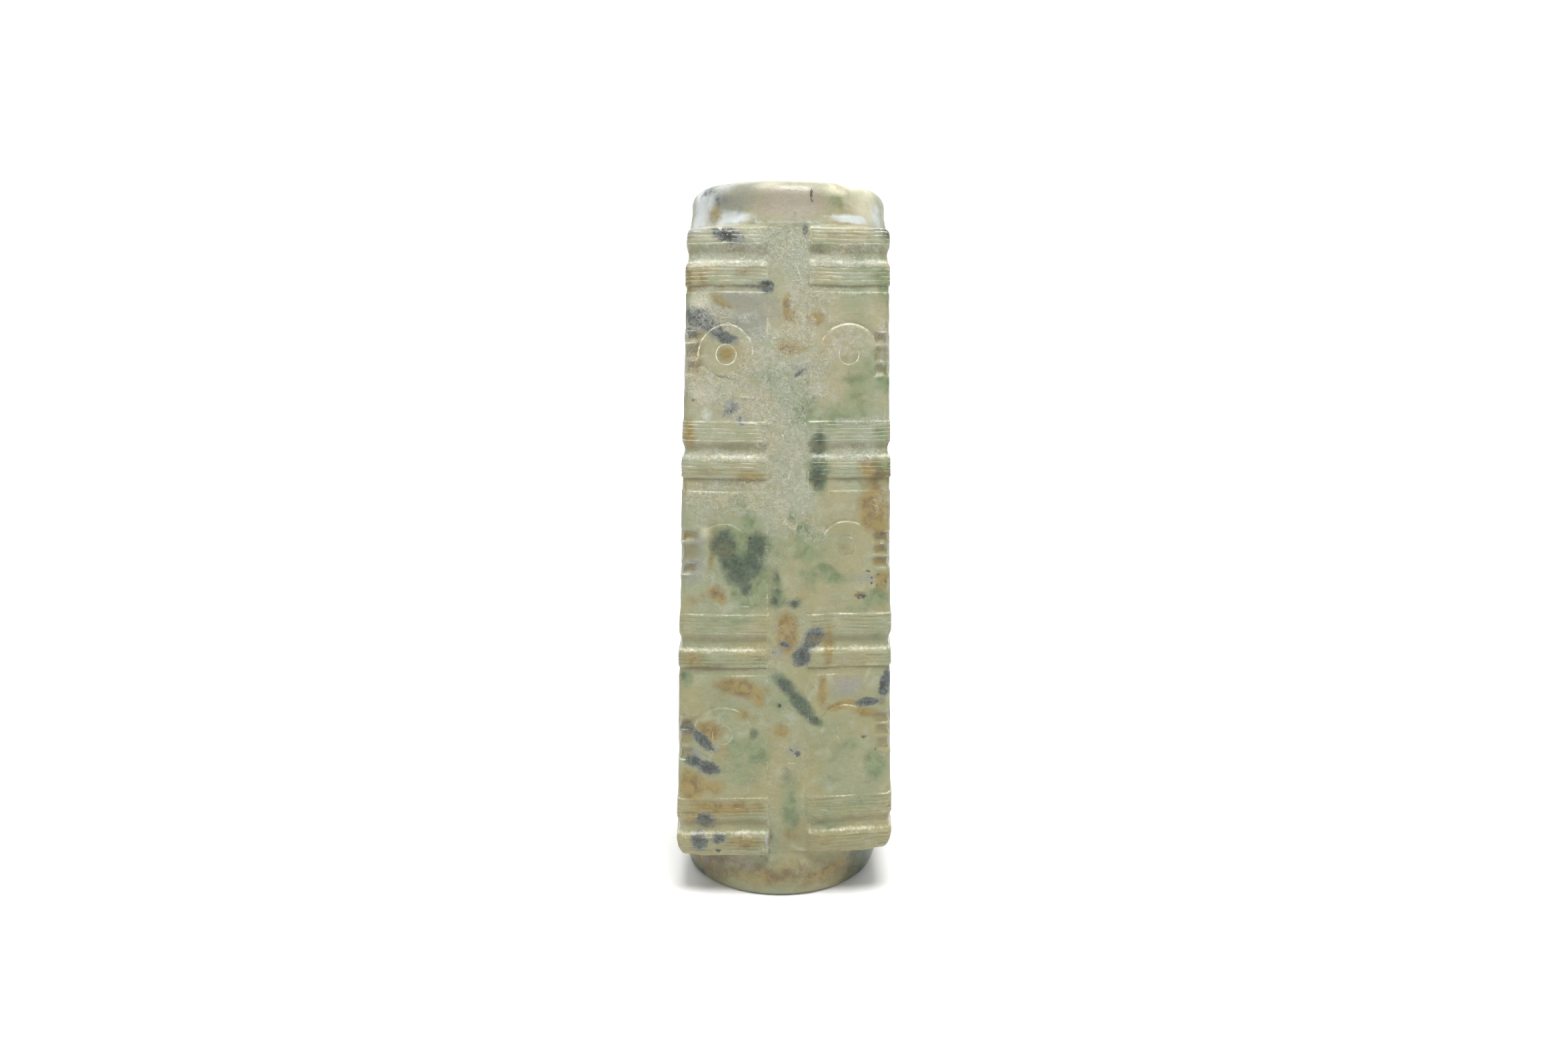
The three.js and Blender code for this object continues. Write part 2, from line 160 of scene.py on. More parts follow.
def place(k, across, out, z):
    a = k * math.pi / 2
    x = across * math.cos(a) + out * math.sin(a)
    y = across * math.sin(a) - out * math.cos(a)
    zz = z + (sag(z) - RIM_TILT * smooth(RIM_TILT_FROM_Z, RIM_TILT_FROM_Z + 12, z)) * x
    return np.stack([x + axis_x(z), y, zz], 1)


def waves(p, length, seed, count=16, stretch=(1.0, 1.0, 1.0)):
    """Smooth made-up unevenness: a sum of sine waves of about one length, from -1 to 1."""
    rng = np.random.default_rng(seed)
    total = np.zeros(len(p))
    for _ in range(count):
        d = rng.normal(size=3)
        d /= np.linalg.norm(d)
        k = 2 * math.pi / (length * rng.uniform(0.7, 1.5)) * d / np.array(stretch)
        total += np.sin(p @ k + rng.uniform(0, 2 * math.pi))
    return np.clip(total / math.sqrt(count) * 0.8, -1, 1)


def ramp(levels, values, z):
    return np.interp(z, levels, values)


# ---------------------------------------------------------------- the sheet of one face
def band_lines():
    """Heights of the cut lines in each band."""
    heights = []
    for i, (a, b, c, d, e) in enumerate(BAND_PAIRS):
        pitch = (1.15, 1.17, 1.19, 1.2)[i]
        first = 0.9 if i else 1.0
        n = int((a - b - first - 0.35) / pitch) + 1
        heights += [a - first - j * pitch for j in range(n)]
        n = int((c - d - 0.85 - 0.35) / pitch) + 1
        heights += [c - 0.85 - j * pitch for j in range(n)]
    return heights


LINES = band_lines()


def body_rows():
    rows = []
    for i, (a, b, c, d, e) in enumerate(BAND_PAIRS):
        rows += [a + 0.55, a + 0.3, a + 0.05, a - 0.25] if i else [a - 0.2]
        rows += [b + 0.25, b - 0.1]
        rows += [lerp(c, b, t) for t in (0.82, 0.66, 0.5, 0.34, 0.18, 0.07)]
        rows += [c + 0.1, c - 0.25]
        if i < len(BAND_PAIRS) - 1:
            rows += [d + 0.25, d, d - 0.2, d - 0.4, e + 0.25, e, e - 0.25, e - 0.5]
        else:
            rows += [d + 0.1, 17.2, 16.8, 16.4, BODY_LOW_Z]
    rows.append(BODY_TOP_Z)
    for h in LINES:
        rows += [h - 0.22, h, h + 0.22]
    rows = sorted(rows)
    kept = [rows[0]]
    for r in rows[1:]:
        if r - kept[-1] > 0.12:
            kept.append(r)
    return kept


LOW_W = [16.1, 15.6, 15.0, 14.3, 13.7, 13.1, 12.4]
LOW_Z = [16.1, 16.08, 15.98, 15.8, 15.5, 15.1, 14.4]
LOW_E = [0, 0.2, 0.45, 0.7, 0.88, 0.97, 1]
TOP_W = [211.5, 212.1, 212.7, 213.3, 213.9, 214.6]
TOP_ZZ = [211.5, 211.55, 211.75, 212.2, 212.9, 213.9]
TOP_E = [0, 0.25, 0.55, 0.82, 0.96, 1]
COLLAR_ROWS = [-0.8, 0.1, 1.0, 1.9, 2.8, 3.7, 4.6, 5.5, 6.4, 7.4, 8.4, 9.4, 10.4, 11.4]
COLLAR_TOP_ROWS = [215.5, 216.5, 217.5, 218.5, 219.6, 220.4, 221.2, 222.0, 222.8, 223.5,
                   224.1, 224.7, 225.2, 225.7]


def columns():
    half = [1.8, 3.5, 4.8, 5.35, 5.75, 6.2, 6.6]
    half += list(np.linspace(8.3, 27.4, 12))
    half += [28.8, 30.1, 31.2, 32.2, 32.7, 33.2, 33.7, 34.2]
    return sorted([-h for h in half] + [0.0] + half)


COLS = columns()
NOSE_W = {t: sorted({round(r, 3) for c in NOSES for r in c[t]}) for t in range(3)}

# tiny dark specks on the front that the mesh is made finer for: across, height, radius
FINE_SPOTS = []
# small marks on the front of the upper collar: across, height, half sizes
COLLAR_SPOTS = [(6.7, 221.0, 0.7, 2.4), (-6.0, 218.2, 1.1, 0.9), (-17.4, 220.8, 0.9, 0.8), (0.2, 217.0, 1.0, 0.8), (2.0, 216.0, 0.9, 1.0)]


def sheet_points(front):
    pts = {}

    def add(q, w):
        pts.setdefault((round(q, 3), round(w, 3)), None)

    rows = body_rows()
    fields = [(BAND_PAIRS[i][4] - 0.5, BAND_PAIRS[i + 1][0] + 0.55) for i in range(3)]
    for n, w in enumerate(rows):
        coarse = min(abs(w - h) for h in LINES) < 0.3
        for q in COLS:
            if coarse and abs(q) < 5.0 and n % 3:
                continue
            add(q, w)
    for w in LOW_W[1:] + TOP_W[1:] + COLLAR_ROWS + COLLAR_TOP_ROWS:
        for q in COLS:
            add(q, w)
    # eye fields: the nose rows, the eye rings, and an even background
    for t, (hi, lo) in enumerate(fields):
        ze = EYE_Z[t]
        scale = 0.5 * (half_width(np.array([ze]))[0] - CORNER_ROUND - Q_GROOVE) / 13.0
        nose_rows = list(np.arange(ze - 9.6, ze + 9.7, 0.6))
        far = [z for z in np.arange(lo + 1.1, hi - 0.4, 1.35) if not ze - 9.9 < z < ze + 9.9]
        rowset = nose_rows + far
        for w in rowset:
            for q in (27.4, 28.8, 30.1, 31.2, 32.2, 32.7, 33.2, 33.7, 34.2):
                add(q, w)
                add(-q, w)
        for w in np.arange(lo + 1.1, hi - 0.4, 1.2):
            for q in (4.8, 5.35, 5.75, 6.2, 6.6):
                add(q, w)
                add(-q, w)
        step = 1.4 if front else 1.75
        for j, w in enumerate(np.arange(lo + 1.0, hi - 0.4, step * 0.866)):
            for q in np.arange(-26.2 + (j % 2) * step / 2, 26.3, step):
                if 4.1 < abs(q) < 7.2 or abs(q) > 26.0:
                    continue
                r = math.hypot((abs(q) - Q_EYE) * scale, w - ze)
                if r < EYE_R + 1.7:
                    continue
                add(q, w)
        rings = [(EYE_R + 1.2, 60), (EYE_R + 0.6, 60), (EYE_R + 0.27, 60), (EYE_R + 0.12, 60), (EYE_R, 60),
                 (EYE_R - 0.12, 60), (EYE_R - 0.3, 60), (EYE_R - 0.7, 60), (EYE_R - 1.6, 40), (5.2, 32),
                 (4.1, 32), (PUPIL_R + 0.5, 32), (PUPIL_R + 0.22, 32), (PUPIL_R + 0.1, 32), (PUPIL_R, 32),
                 (PUPIL_R - 0.12, 32), (PUPIL_R - 0.35, 32), (PUPIL_R - 0.9, 18), (1.0, 8)]
        for side in (-1, 1):
            add(side * Q_EYE, ze)
            for r, segs in rings:
                for i in range(segs):
                    a = 2 * math.pi * i / segs
                    add(side * Q_EYE + r * math.cos(a) / scale, ze + r * math.sin(a))
    if not front:
        return np.array(sorted(pts.keys()))

    def to_q(x, w):
        """Sheet coordinate of a place on the front, and millimetres per unit of it."""
        c = half_width(np.array([w]))[0]
        off = CHANNEL_OFF[0] * (1 - 0.9 * along(np.array([w]))[0])
        side = 1 if x > off else -1
        if abs(x - off) < Q_GROOVE:
            return x - off, 1.0
        s = (c - CORNER_ROUND - Q_GROOVE - side * off) / (Q_BLOCK - Q_GROOVE)
        return side * (Q_GROOVE + (abs(x) - Q_GROOVE - side * off) / s), s

    taken = np.array(sorted(pts.keys()))

    def put(x, w, gap=0.3):
        if not BODY_LOW_Z + 0.6 < w < BODY_TOP_Z - 0.6:
            return
        q, s = to_q(x, w)
        if abs(q) > 31.6:
            return
        near = np.hypot((taken[:, 0] - q) * s, taken[:, 1] - w)
        if near.min() > gap:
            add(q, w)

    qs = np.linspace(-31.0, 31.0, 400)
    xt, ot = body_point(0, qs, np.full(400, BODY_TOP_Z), np.zeros(400))
    xs = xt / np.hypot(xt, ot) * 30.8
    for x, z, rx, rz in COLLAR_SPOTS:
        for dx in np.arange(-rx - 0.3, rx + 0.31, 0.4):
            for dz in np.arange(-rz - 0.4, rz + 0.41, 0.5):
                h = z + dz
                if h < HEIGHT - COLLAR_TOP_DOME:
                    w = 214.6 + (h - 213.9) / (HEIGHT - COLLAR_TOP_DOME - 213.9) * 5.0
                else:
                    w = 219.6 + math.asin(1 - (HEIGHT - h) / COLLAR_TOP_DOME) / (math.pi / 2) * 6.1
                q = float(np.interp(x + dx, xs, qs))
                if 215.0 < w < 224.8 and np.hypot(taken[:, 0] - q, taken[:, 1] - w).min() > 0.15:
                    add(q, w)
    for x, w, r in FINE_SPOTS:
        put(x, w, 0.1)
        for f, segs in ((0.7, 6), (1.25, 8), (1.8, 8)):
            for i in range(segs):
                a = 2 * math.pi * i / segs
                put(x + f * r * math.cos(a), w + f * r * math.sin(a), 0.12)
    for (x, w, rx, rz, turn, d) in SCARS:
        a = math.radians(turn)
        if min(rx, rz) < 0.75:
            fs = (0.0, 0.6, 1.1)
        else:
            fs = (0.5, 0.75, 0.95, 1.1)
        for f in fs:
            n = max(6, int(2 * math.pi * math.hypot(rx, rz) * max(f, 0.6) / math.sqrt(2) / 0.75))
            for i in range(n):
                b = 2 * math.pi * i / n
                u, v = rx * math.cos(b), rz * math.sin(b)
                # long thin marks keep their length and change only in width
                if rx > 2.5 * rz:
                    v *= f
                elif rz > 2.5 * rx:
                    u *= f
                else:
                    u, v = u * f, v * f
                put(x + u * math.cos(a) - v * math.sin(a), w + u * math.sin(a) + v * math.cos(a), 0.22)
    return np.array(sorted(pts.keys()))


# ---------------------------------------------------------------- relief
def band_depth(z):
    """How far the block lies behind its full face, as in the CAD but with softer edges."""
    levels, values = [], []

    def at(h, v):
        levels.append(h)
        values.append(v)

    for i, (a, b, c, d, e) in reversed(list(enumerate(BAND_PAIRS))):
        if i == len(BAND_PAIRS) - 1:
            at(BODY_LOW_Z, 0)
            at(d, 0)
        else:
            at(e - 0.5, FIELD_DEPTH)
            at(e - 0.25, lerp(FIELD_DEPTH, RECESS_DEPTH, 0.4))
            at(e, RECESS_DEPTH)
            at(d - 0.4, RECESS_DEPTH + 0.02)
            at(d - 0.2, 0.42)
            at(d, 0.16)
            at(d + 0.25, 0.02)
        at(c - 0.25, 0.0)
        at(c + 0.1, 0.07)
        for t in (0.07, 0.18, 0.34, 0.5, 0.66, 0.82, 0.93):
            at(lerp(c, b, t), FLUTE_DEPTH * math.sin(math.pi * t) ** 0.9)
        at(b - 0.1, 0.1)
        at(b + 0.25, 0.0)
        if i:
            at(a - 0.25, 0.0)
            at(a + 0.05, 0.06)
            at(a + 0.3, 0.24)
            at(a + 0.55, FIELD_DEPTH)
        else:
            at(a, 0.0)
    order = np.argsort(levels)
    return np.interp(z, np.array(levels)[order], np.array(values)[order])


def edge_wear(q, z):
    share = np.interp(np.abs(q), [5.0, 6.2, 9.0, 26.0, 32.2, 34.2], [0, 0.15, 0.3, 0.34, 1.0, 1.15])

    def fall(t, size):
        return size * (1 - np.sqrt(np.maximum(0, 1 - t * t)))

    low = clamp01((BODY_LOW_Z + LOW_EDGE_ROUND * 1.6 - z) / (LOW_EDGE_ROUND * 1.6))
    top = clamp01((z - BODY_TOP_Z + TOP_EDGE_ROUND) / TOP_EDGE_ROUND)
    return share * (fall(low, LOW_EDGE_ROUND * 0.75) + fall(top, TOP_EDGE_ROUND * 0.6))


def body_point(k, q, z, depth):
    """across and out on face k for sheet coordinate q at height z, set back by depth"""
    c, b = half_width(z), bow(z)
    off = CHANNEL_OFF[k] * (1 - 0.9 * along(z))
    aq, side = np.abs(q), np.where(q < 0, -1.0, 1.0)
    r = CORNER_ROUND
    t = clamp01((aq - Q_GROOVE) / (Q_BLOCK - Q_GROOVE))
    x_block = lerp(off + side * Q_GROOVE, side * (c - r), t)
    x = np.where(aq <= Q_GROOVE, off + q, x_block)
    out = c + b * (1 - (x / c) ** 2) - depth
    ang = clamp01((aq - Q_BLOCK) / (Q_END - Q_BLOCK)) * math.pi / 4
    tt = ang / (math.pi / 4)
    x_arc = c - r + (r - depth) * np.sin(ang)
    out_arc = c - r + (r - depth) * np.cos(ang) + b * (1 - (x_arc / c) ** 2) * (1 - tt)
    arc = aq > Q_BLOCK
    return np.where(arc, side * x_arc, x), np.where(arc, out_arc, out)


def arc_strength(arcs, deg):
    total = np.zeros_like(deg)
    for lo, hi, s in arcs:
        if hi - lo >= 360:
            total = np.maximum(total, s)
            continue
        rel = (deg - lo) % 360
        span = hi - lo
        inside = np.where(rel <= span, np.minimum(rel, span - rel), np.maximum(-(360 - rel), -(rel - span)))
        total = np.maximum(total, s * clamp01((inside + 8) / 16))
    return total


# scars, pockets and chips on the front: across, height, half
# width, half height, turn in degrees, depth (minus is a raised scar)
SCARS = [
    (-3.6, 185.6, 2.0, 6.4, 0, 0.26), (-5.7, 187.0, 0.4, 7.5, 0, 0.2), (-24.0, 187.3, 7.2, 0.5, -31, -0.24),
    (-16.4, 182.6, 3.2, 0.5, -22, -0.2), (-5.6, 166.5, 0.4, 7.0, 0, 0.16), (-5.6, 160.0, 1.9, 6.0, 4, 0.24),
    (22.0, 161.5, 2.6, 1.2, 20, 0.2), (3.2, 168.4, 2.6, 1.3, -35, 0.22), (9.0, 204.0, 3.0, 1.0, 0, 0.2),
    (-12.0, 161.8, 8.0, 0.6, -6, -0.2), (-17.0, 165.2, 6.0, 0.7, -14, 0.26), (2.5, 155.0, 2.0, 3.6, 0, 0.16),
    (-17.0, 158.4, 5.0, 0.5, 8, -0.16), (-9.5, 170.2, 0.5, 3.4, 30, -0.16), (11.0, 133.0, 1.4, 3.4, 8, 0.16),
    (-7.4, 122.8, 0.6, 8.0, 12, 0.16), (-4.6, 98.8, 0.7, 5.2, 0, 0.22), (23.4, 100.3, 2.4, 0.6, -5, 0.4),
    (-5.2, 83.4, 1.6, 3.2, -40, 0.26), (-1.6, 65.4, 0.8, 0.8, 0, 0.35), (3.2, 50.4, 3.0, 2.3, 0, 0.28),
    (2.0, 46.6, 3.6, 0.5, -10, -0.16), (24.5, 41.2, 1.6, 0.8, 0, 0.22), (-4.7, 22.0, 1.1, 4.6, 8, 0.4),
    (-5.1, 18.6, 2.0, 1.6, 0, 0.3), (7.4, 25.2, 1.6, 1.8, 0, 0.26), (5.5, 210.0, 0.5, 2.2, 0, 0.24),
    (-5.6, 205.0, 1.6, 2.4, 0, 0.22), (31.0, 205.8, 1.6, 1.4, 0, 0.3), (-31.6, 134.0, 1.4, 1.6, 0, 0.3),
    (33.0, 89.0, 1.3, 1.3, 0, 0.25), (-32.4, 24.0, 1.6, 1.6, 0, 0.3), (32.8, 37.0, 1.4, 1.2, 0, 0.3),
    (-8.2, 100.5, 5.5, 0.5, -12, -0.16), (0.5, 128.0, 2.2, 6.5, 20, 0.16), (12.8, 105.0, 4.0, 0.6, -30, 0.16),
    (-13.0, 97.4, 8.0, 0.5, -4, -0.12), (1.2, 139.0, 0.5, 6.0, -14, -0.14), (-19.0, 128.6, 7.0, 0.5, 10, -0.16),
    (-22.0, 131.0, 4.0, 0.5, -12, -0.16), (3.5, 197.5, 0.5, 5.0, 20, -0.14), (-1.5, 204.0, 0.5, 4.0, -30, -0.16),
    (-5.5, 66.0, 0.4, 8.0, 0, 0.14), (7.4, 62.0, 0.35, 9.0, 0, 0.12), (7.2, 186.0, 0.35, 9.0, 0, 0.14),
    (7.2, 168.0, 0.35, 5.0, 0, 0.12), (7.5, 104.0, 0.35, 9.0, 0, 0.12), (-5.4, 45.0, 0.35, 6.0, 0, 0.12),
]

# how the skin feels on the front: across, height, half width,
# half height, from -1 (smooth and waxy) to 1 (wrinkled)
ROUGH = [
    (-11.7, 210.2, 8.7, 3.7, 1), (-0.5, 206.8, 6.6, 6.6, 0.9), (-18.8, 201.7, 13.1, 1.6, 0.9),
    (16.5, 201.4, 10.9, 1.6, 0.9), (5.3, 192.3, 3.6, 14.7, 0.7), (-25.9, 189.6, 3.6, 4.4, 0.8),
    (-16.7, 186.1, 7.3, 2.9, 0.9), (-10.2, 178.4, 4.4, 4.4, 0.6), (-9.5, 171.4, 5.1, 6.6, 0.6),
    (-18.8, 164.3, 14.6, 4.4, 1), (-6.6, 158.6, 3.6, 11, 1), (4.1, 161.4, 7.3, 4.4, 0.6),
    (-11.6, 153.6, 6.6, 2.9, 1), (-1.5, 147.1, 7.3, 10.3, 0.9), (-18.8, 143.5, 12.4, 2.2, 0.8),
    (-22.5, 131.1, 9.5, 4.4, 1), (-7.9, 131.1, 9.5, 5.9, 0.9), (3, 132.6, 4.4, 8.8, 0.7),
    (24.4, 153.9, 8.7, 1.8, 0.6), (17.3, 143.8, 10.9, 1.8, 0.7), (-15.9, 189.6, 8.7, 4.4, -1),
    (21.7, 188.2, 8.7, 5.9, -0.5), (20.6, 168.5, 8, 5.9, -1), (24.3, 160.7, 7.3, 4.4, -0.8),
    (9.9, 157.1, 5.1, 4.4, -0.6), (-4.6, 186.1, 3.6, 4.4, -0.7), (-18.8, 174.2, 6.6, 5.9, -0.3),
    (18.9, 136.2, 8.7, 4.4, -0.4), (-25.2, 108.4, 4.7, 4.7, 0.4), (-0.1, 122, 7.8, 3.2, 0.7),
    (9.3, 118.9, 4.7, 4.7, 0.6), (-6.1, 79.5, 4.7, 7.9, 0.4), (-4.5, 74.6, 2.3, 3.2, 0.5),
    (-17.3, 35.2, 11.7, 1.2, 0.4), (15.1, 36.1, 15.6, 1.2, 0.4), (-5.1, 30.2, 3.1, 9.5, 0.6),
    (-2.6, 17.4, 4.7, 3.2, 0.6), (-17.3, 17.3, 7.8, 2.4, 0.5), (-21.3, 55.3, 10.2, 10.3, -0.5),
    (18.9, 55.4, 10.2, 10.3, -0.6), (18, 116.4, 8.6, 7.9, -0.5), (2.4, 104.6, 9.4, 7.9, -0.6),
    (-17.3, 114.9, 7.8, 7.9, -0.7), (-17.3, 90, 11.7, 3.2, -0.3), (20.8, 89.9, 9.4, 3.2, -0.3),
]

def groove_profile(q):
    """Depth of the upright channel across a face."""
    aq = np.abs(q)
    floor = lerp(CHANNEL_DEPTH_MID, CHANNEL_DEPTH_SIDE, clamp01(aq / 5.35) ** 2)
    return floor


def face_surface(k, q, w):
    """Points of face k in millimetres, and how chalky or grimy each is, with painted highlights counted as chalk and
    painted shade as grime.
    """
    n = len(q)
    chalk_and_highlight, grime_and_shade = np.zeros(n), np.zeros(n)
    aq, side = np.abs(q), np.where(q < 0, -1.0, 1.0)
    low, top = w < BODY_LOW_Z, w > BODY_TOP_Z
    body = ~(low | top)
    z = w.astype(float).copy()
    z = np.where(low, ramp(LOW_W[::-1], LOW_Z[::-1], w), z)
    turn_low = clamp01((6.4 - w) / 7.2) * math.pi / 2
    z = np.where(low & (w < 12.4), np.where(w < 6.4, COLLAR_LOW_DOME * (1 - np.sin(turn_low)),
                                            lerp(COLLAR_LOW_DOME, 14.4, (w - 6.4) / 6.0)), z)
    z = np.where(top, ramp(TOP_W, TOP_ZZ, w), z)
    turn_top = clamp01((w - 219.6) / 6.1) * math.pi / 2
    z = np.where(top & (w > 214.6), np.where(w > 219.6, HEIGHT - COLLAR_TOP_DOME * (1 - np.sin(turn_top)),
                                             lerp(213.9, HEIGHT - COLLAR_TOP_DOME, (w - 214.6) / 5.0)), z)

    # a first place on the plain body, that all the unevenness is worked out from
    zb = np.clip(z, BODY_LOW_Z, BODY_TOP_Z)
    x0, o0 = body_point(k, q, zb, np.zeros(n))
    p0 = place(k, x0, o0, zb)

    # the rows wander a little, as hand-cut lines do
    keep = smooth(16.1, 19.0, w) * (1 - smooth(208.5, 211.5, w))
    wander = (0.2 * waves(p0 * [1, 1, 0.25], 26, 11) + 0.06 * waves(p0, 7, 12)) * keep
    zz = zb + wander

    # cut steps of the bands on the blocks, channel between them
    block = smooth(5.75, 6.6, aq) * 0.5 + 0.5 * smooth(5.35, 6.2, aq)
    foot = (1 - smooth(20, 32, w)) * (side > 0)
    block = lerp(block, smooth(5.6, 9.6, aq), foot)
    patch = 0.5 + 0.5 * waves(p0, 9, 21)
    worn = 1 - 0.25 * smooth(0.55, 0.95, patch)
    d_block = band_depth(w) * worn
    nose = np.zeros(n)
    nose_line = np.zeros(n)
    nose_pit = np.zeros(n)
    for t in range(3):
        for s in (-1, 1):
            corner = (k if s > 0 else k + 3) % 4
            ridges = sorted(NOSES[corner][t])
            m = (side == s) & (w > ridges[0] - 1.2) & (w < ridges[-1] + 1.2)
            if not m.any():
                continue
            wm = w[m]
            f = np.zeros(len(wm))
            for lo, hi in zip(ridges[:-1], ridges[1:]):
                u = clamp01((wm - lo) / (hi - lo))
                f = np.maximum(f, np.sin(math.pi * u) ** 0.75 * 0.95)
            inner = (half_width(wm) - NOSE_REACH)
            reach = smooth(-2.6, 1.4, np.abs(x0[m]) - inner)
            nose[m] += f * reach
            near = np.min([np.abs(wm - r) for r in ridges], axis=0)
            nose_line[m] = np.maximum(nose_line[m], clamp01(1 - near / 0.55) * smooth(-1.6, 2.2, np.abs(x0[m]) - inner))
            nose_pit[m] = clamp01((f - 0.3) / 0.3) * reach
    d_block = d_block + nose
    d_groove = groove_profile(q)
    depth = lerp(d_groove, d_block, block)

    # cut lines
    for i, h in enumerate(LINES):
        m = np.abs(w - h) < 0.35
        if not m.any():
            continue
        pm = p0[m]
        cut = 0.18 + 0.07 * waves(pm, 14, 100 + i) + 0.06 * waves(pm, 4.5, 200 + i)
        cut = np.clip(cut, 0.0, 0.27)
        v = clamp01(1 - np.abs(w[m] - h) / 0.2)
        on = smooth(6.3, 7.3, aq[m])
        depth[m] += cut * v * on
        chalk_and_highlight[m] = np.maximum(chalk_and_highlight[m], v * on * clamp01(cut / 0.15) * (0.4 + 0.32 * (h > 140) + 0.25 * waves(pm, 6, 300 + i)))
        zz[m] += 0.09 * waves(pm * [1, 1, 0.1], 17, 400 + i) * (w[m] < 210.3) * (w[m] > 18.5)

    # eyes
    shift_x, shift_z = np.zeros(n), np.zeros(n)
    for (ek, t, s, ex, ez, er, lift, arcs, pupil) in EYES:
        if ek != k:
            continue
        ze = EYE_Z[t]
        scale = 0.5 * (half_width(np.array([ze]))[0] - CORNER_ROUND - Q_GROOVE) / 13.0
        dq, dw = (q - s * Q_EYE) * scale, w - ze
        rho = np.hypot(dq, dw)
        m = (rho < EYE_R + 6) & (side == s) & body
        if not m.any():
            continue
        # the mapping's own place for the eye's middle, and how far it has to move
        xe, _ = body_point(k, np.array([s * Q_EYE]), np.array([ze]), np.zeros(1))
        fall = 1 - smooth(EYE_R + 0.8, EYE_R + 5.5, rho)
        fall *= 1 - smooth(26.0, 29.5, aq)
        fall *= smooth(6.8, 9.5, aq)
        shift_x += np.where(m, (ex - xe[0]) * fall, 0)
        shift_z += np.where(m, (ez - ze) * fall, 0)
        # the ring is stretched to its own radius, round its own middle
        grow = smooth(3.9, 6.8, rho) * (1 - smooth(EYE_R + 0.9, EYE_R + 4.5, rho))
        shift_x += np.where(m, dq * (er / EYE_R - 1) * grow * (1 - smooth(27.5, 30.5, aq)), 0)
        shift_z += np.where(m, (dw * (er / EYE_R - 1) + lift) * grow * (1 - smooth(27.5, 30.5, aq)), 0)
        deg = np.degrees(np.arctan2(dw, dq)) % 360
        ring = arc_strength(arcs, deg)
        ring_p = arc_strength(pupil, deg)
        jitter = 0.75 + 0.25 * waves(p0, 5, 31 + t)
        rise = 0.2 * (1 - smooth(EYE_R - 0.1, EYE_R + 0.3, rho)) * (0.75 + 0.25 * waves(p0, 12, 33))
        # upper edge of the disc stands out more than the lower one
        rise *= 0.75 + 0.35 * np.sin(np.radians(deg)) * clamp01(rho / EYE_R)
        groove_o = np.exp(-((rho - EYE_R) / 0.22) ** 2) * (0.05 + 0.25 * ring) * jitter
        groove_p = np.exp(-((rho - PUPIL_R) / 0.22) ** 2) * (0.03 + 0.17 * ring_p) * jitter
        dish = 0.2 * smooth(EYE_R - 0.4, EYE_R + 0.6, rho) * (1 - smooth(EYE_R + 0.6, EYE_R + 2.6, rho)) * ring
        depth = depth + np.where(m, -rise + groove_o + groove_p + dish, 0)
        # the outer ring's pale line is partly a painted highlight, strongest on its upper arcs, and the dark band just
        # outside those arcs is painted shade
        line = (np.exp(-((rho - EYE_R - 0.1) / 0.3) ** 2) * ring + np.exp(-((rho - PUPIL_R) / 0.2) ** 2) * ring_p)
        chalk_and_highlight = np.maximum(chalk_and_highlight, np.where(m, line * ((0.6, 0.42, 0.36)[t] + 0.25 * waves(p0, 4, 35)), 0))
        grime_and_shade = np.maximum(grime_and_shade, np.where(m, np.exp(-((rho - EYE_R - 0.75) / 0.5) ** 2) * 0.6 * ring, 0))
        grime_and_shade = np.maximum(grime_and_shade, np.where(m, (rho < PUPIL_R - 0.1) * 0.4, 0))

    # band edges are rubbed pale and carry a painted highlight along their upper edges; hollows hold dirt and painted
    # shade
    for (a, b, c, d, e) in BAND_PAIRS:
        for h, s in ((a, 0.8), (c - 0.1, 0.75), (b, 0.25), (d, 0.3)):
            m = np.abs(w - h) < 0.6
            chalk_and_highlight[m] = np.maximum(chalk_and_highlight[m], s * clamp01(1 - np.abs(w[m] - h) / 0.45)
                                  * smooth(6.1, 6.6, aq[m]) * (0.6 + 0.4 * waves(p0[m], 8, 41)))
        # painted shade, with some dirt, on the upper slope of each flute
        grime_and_shade = np.maximum(grime_and_shade, 0.75 * np.exp(-((w - (b * 0.72 + c * 0.28)) / 1.5) ** 2) * (aq > 6.4))
        # a painted shadow line under the lower band of each pair
        grime_and_shade = np.maximum(grime_and_shade, 0.75 * np.exp(-((w - d + 0.35) / 0.5) ** 2) * (aq > 6.4) * (d > 20))
        # a pale band on the lower slope of each flute: partly paler skin, partly a painted highlight
        frost = 0.66 * np.exp(-((w - lerp(c, b, 0.2)) / 1.05) ** 2) * (0.82 + 0.18 * waves(p0, 10, 43))
        chalk_and_highlight = np.maximum(chalk_and_highlight, frost * smooth(6.1, 6.8, aq))
        if d > 20:
            # a pale line along the lower edge of each recess, painted as a highlight
            chalk_and_highlight = np.maximum(chalk_and_highlight, 0.7 * np.exp(-((w - e + 0.35) / 0.3) ** 2) * smooth(6.1, 6.8, aq)
                               * (0.55 + 0.45 * waves(p0, 12, 44)))
    chalk_and_highlight = np.maximum(chalk_and_highlight, nose_line * (0.6 + 0.3 * waves(p0, 6, 45)))
    grime_and_shade = np.maximum(grime_and_shade, nose_pit * 0.9)
    side_line = np.exp(-((aq - 6.3) / 0.3) ** 2) * (0.5 + 0.5 * waves(p0, 13, 42)) * body
    chalk_and_highlight = np.maximum(chalk_and_highlight, 0.5 * side_line)

    # long shallow unevenness of hand grinding and weathering
    uneven = (0.12 * waves(p0, 24, 51) + 0.085 * waves(p0, 9, 52) + 0.04 * waves(p0, 3.6, 53))
    depth = depth + uneven * np.where(body, 1.0, 0.5)
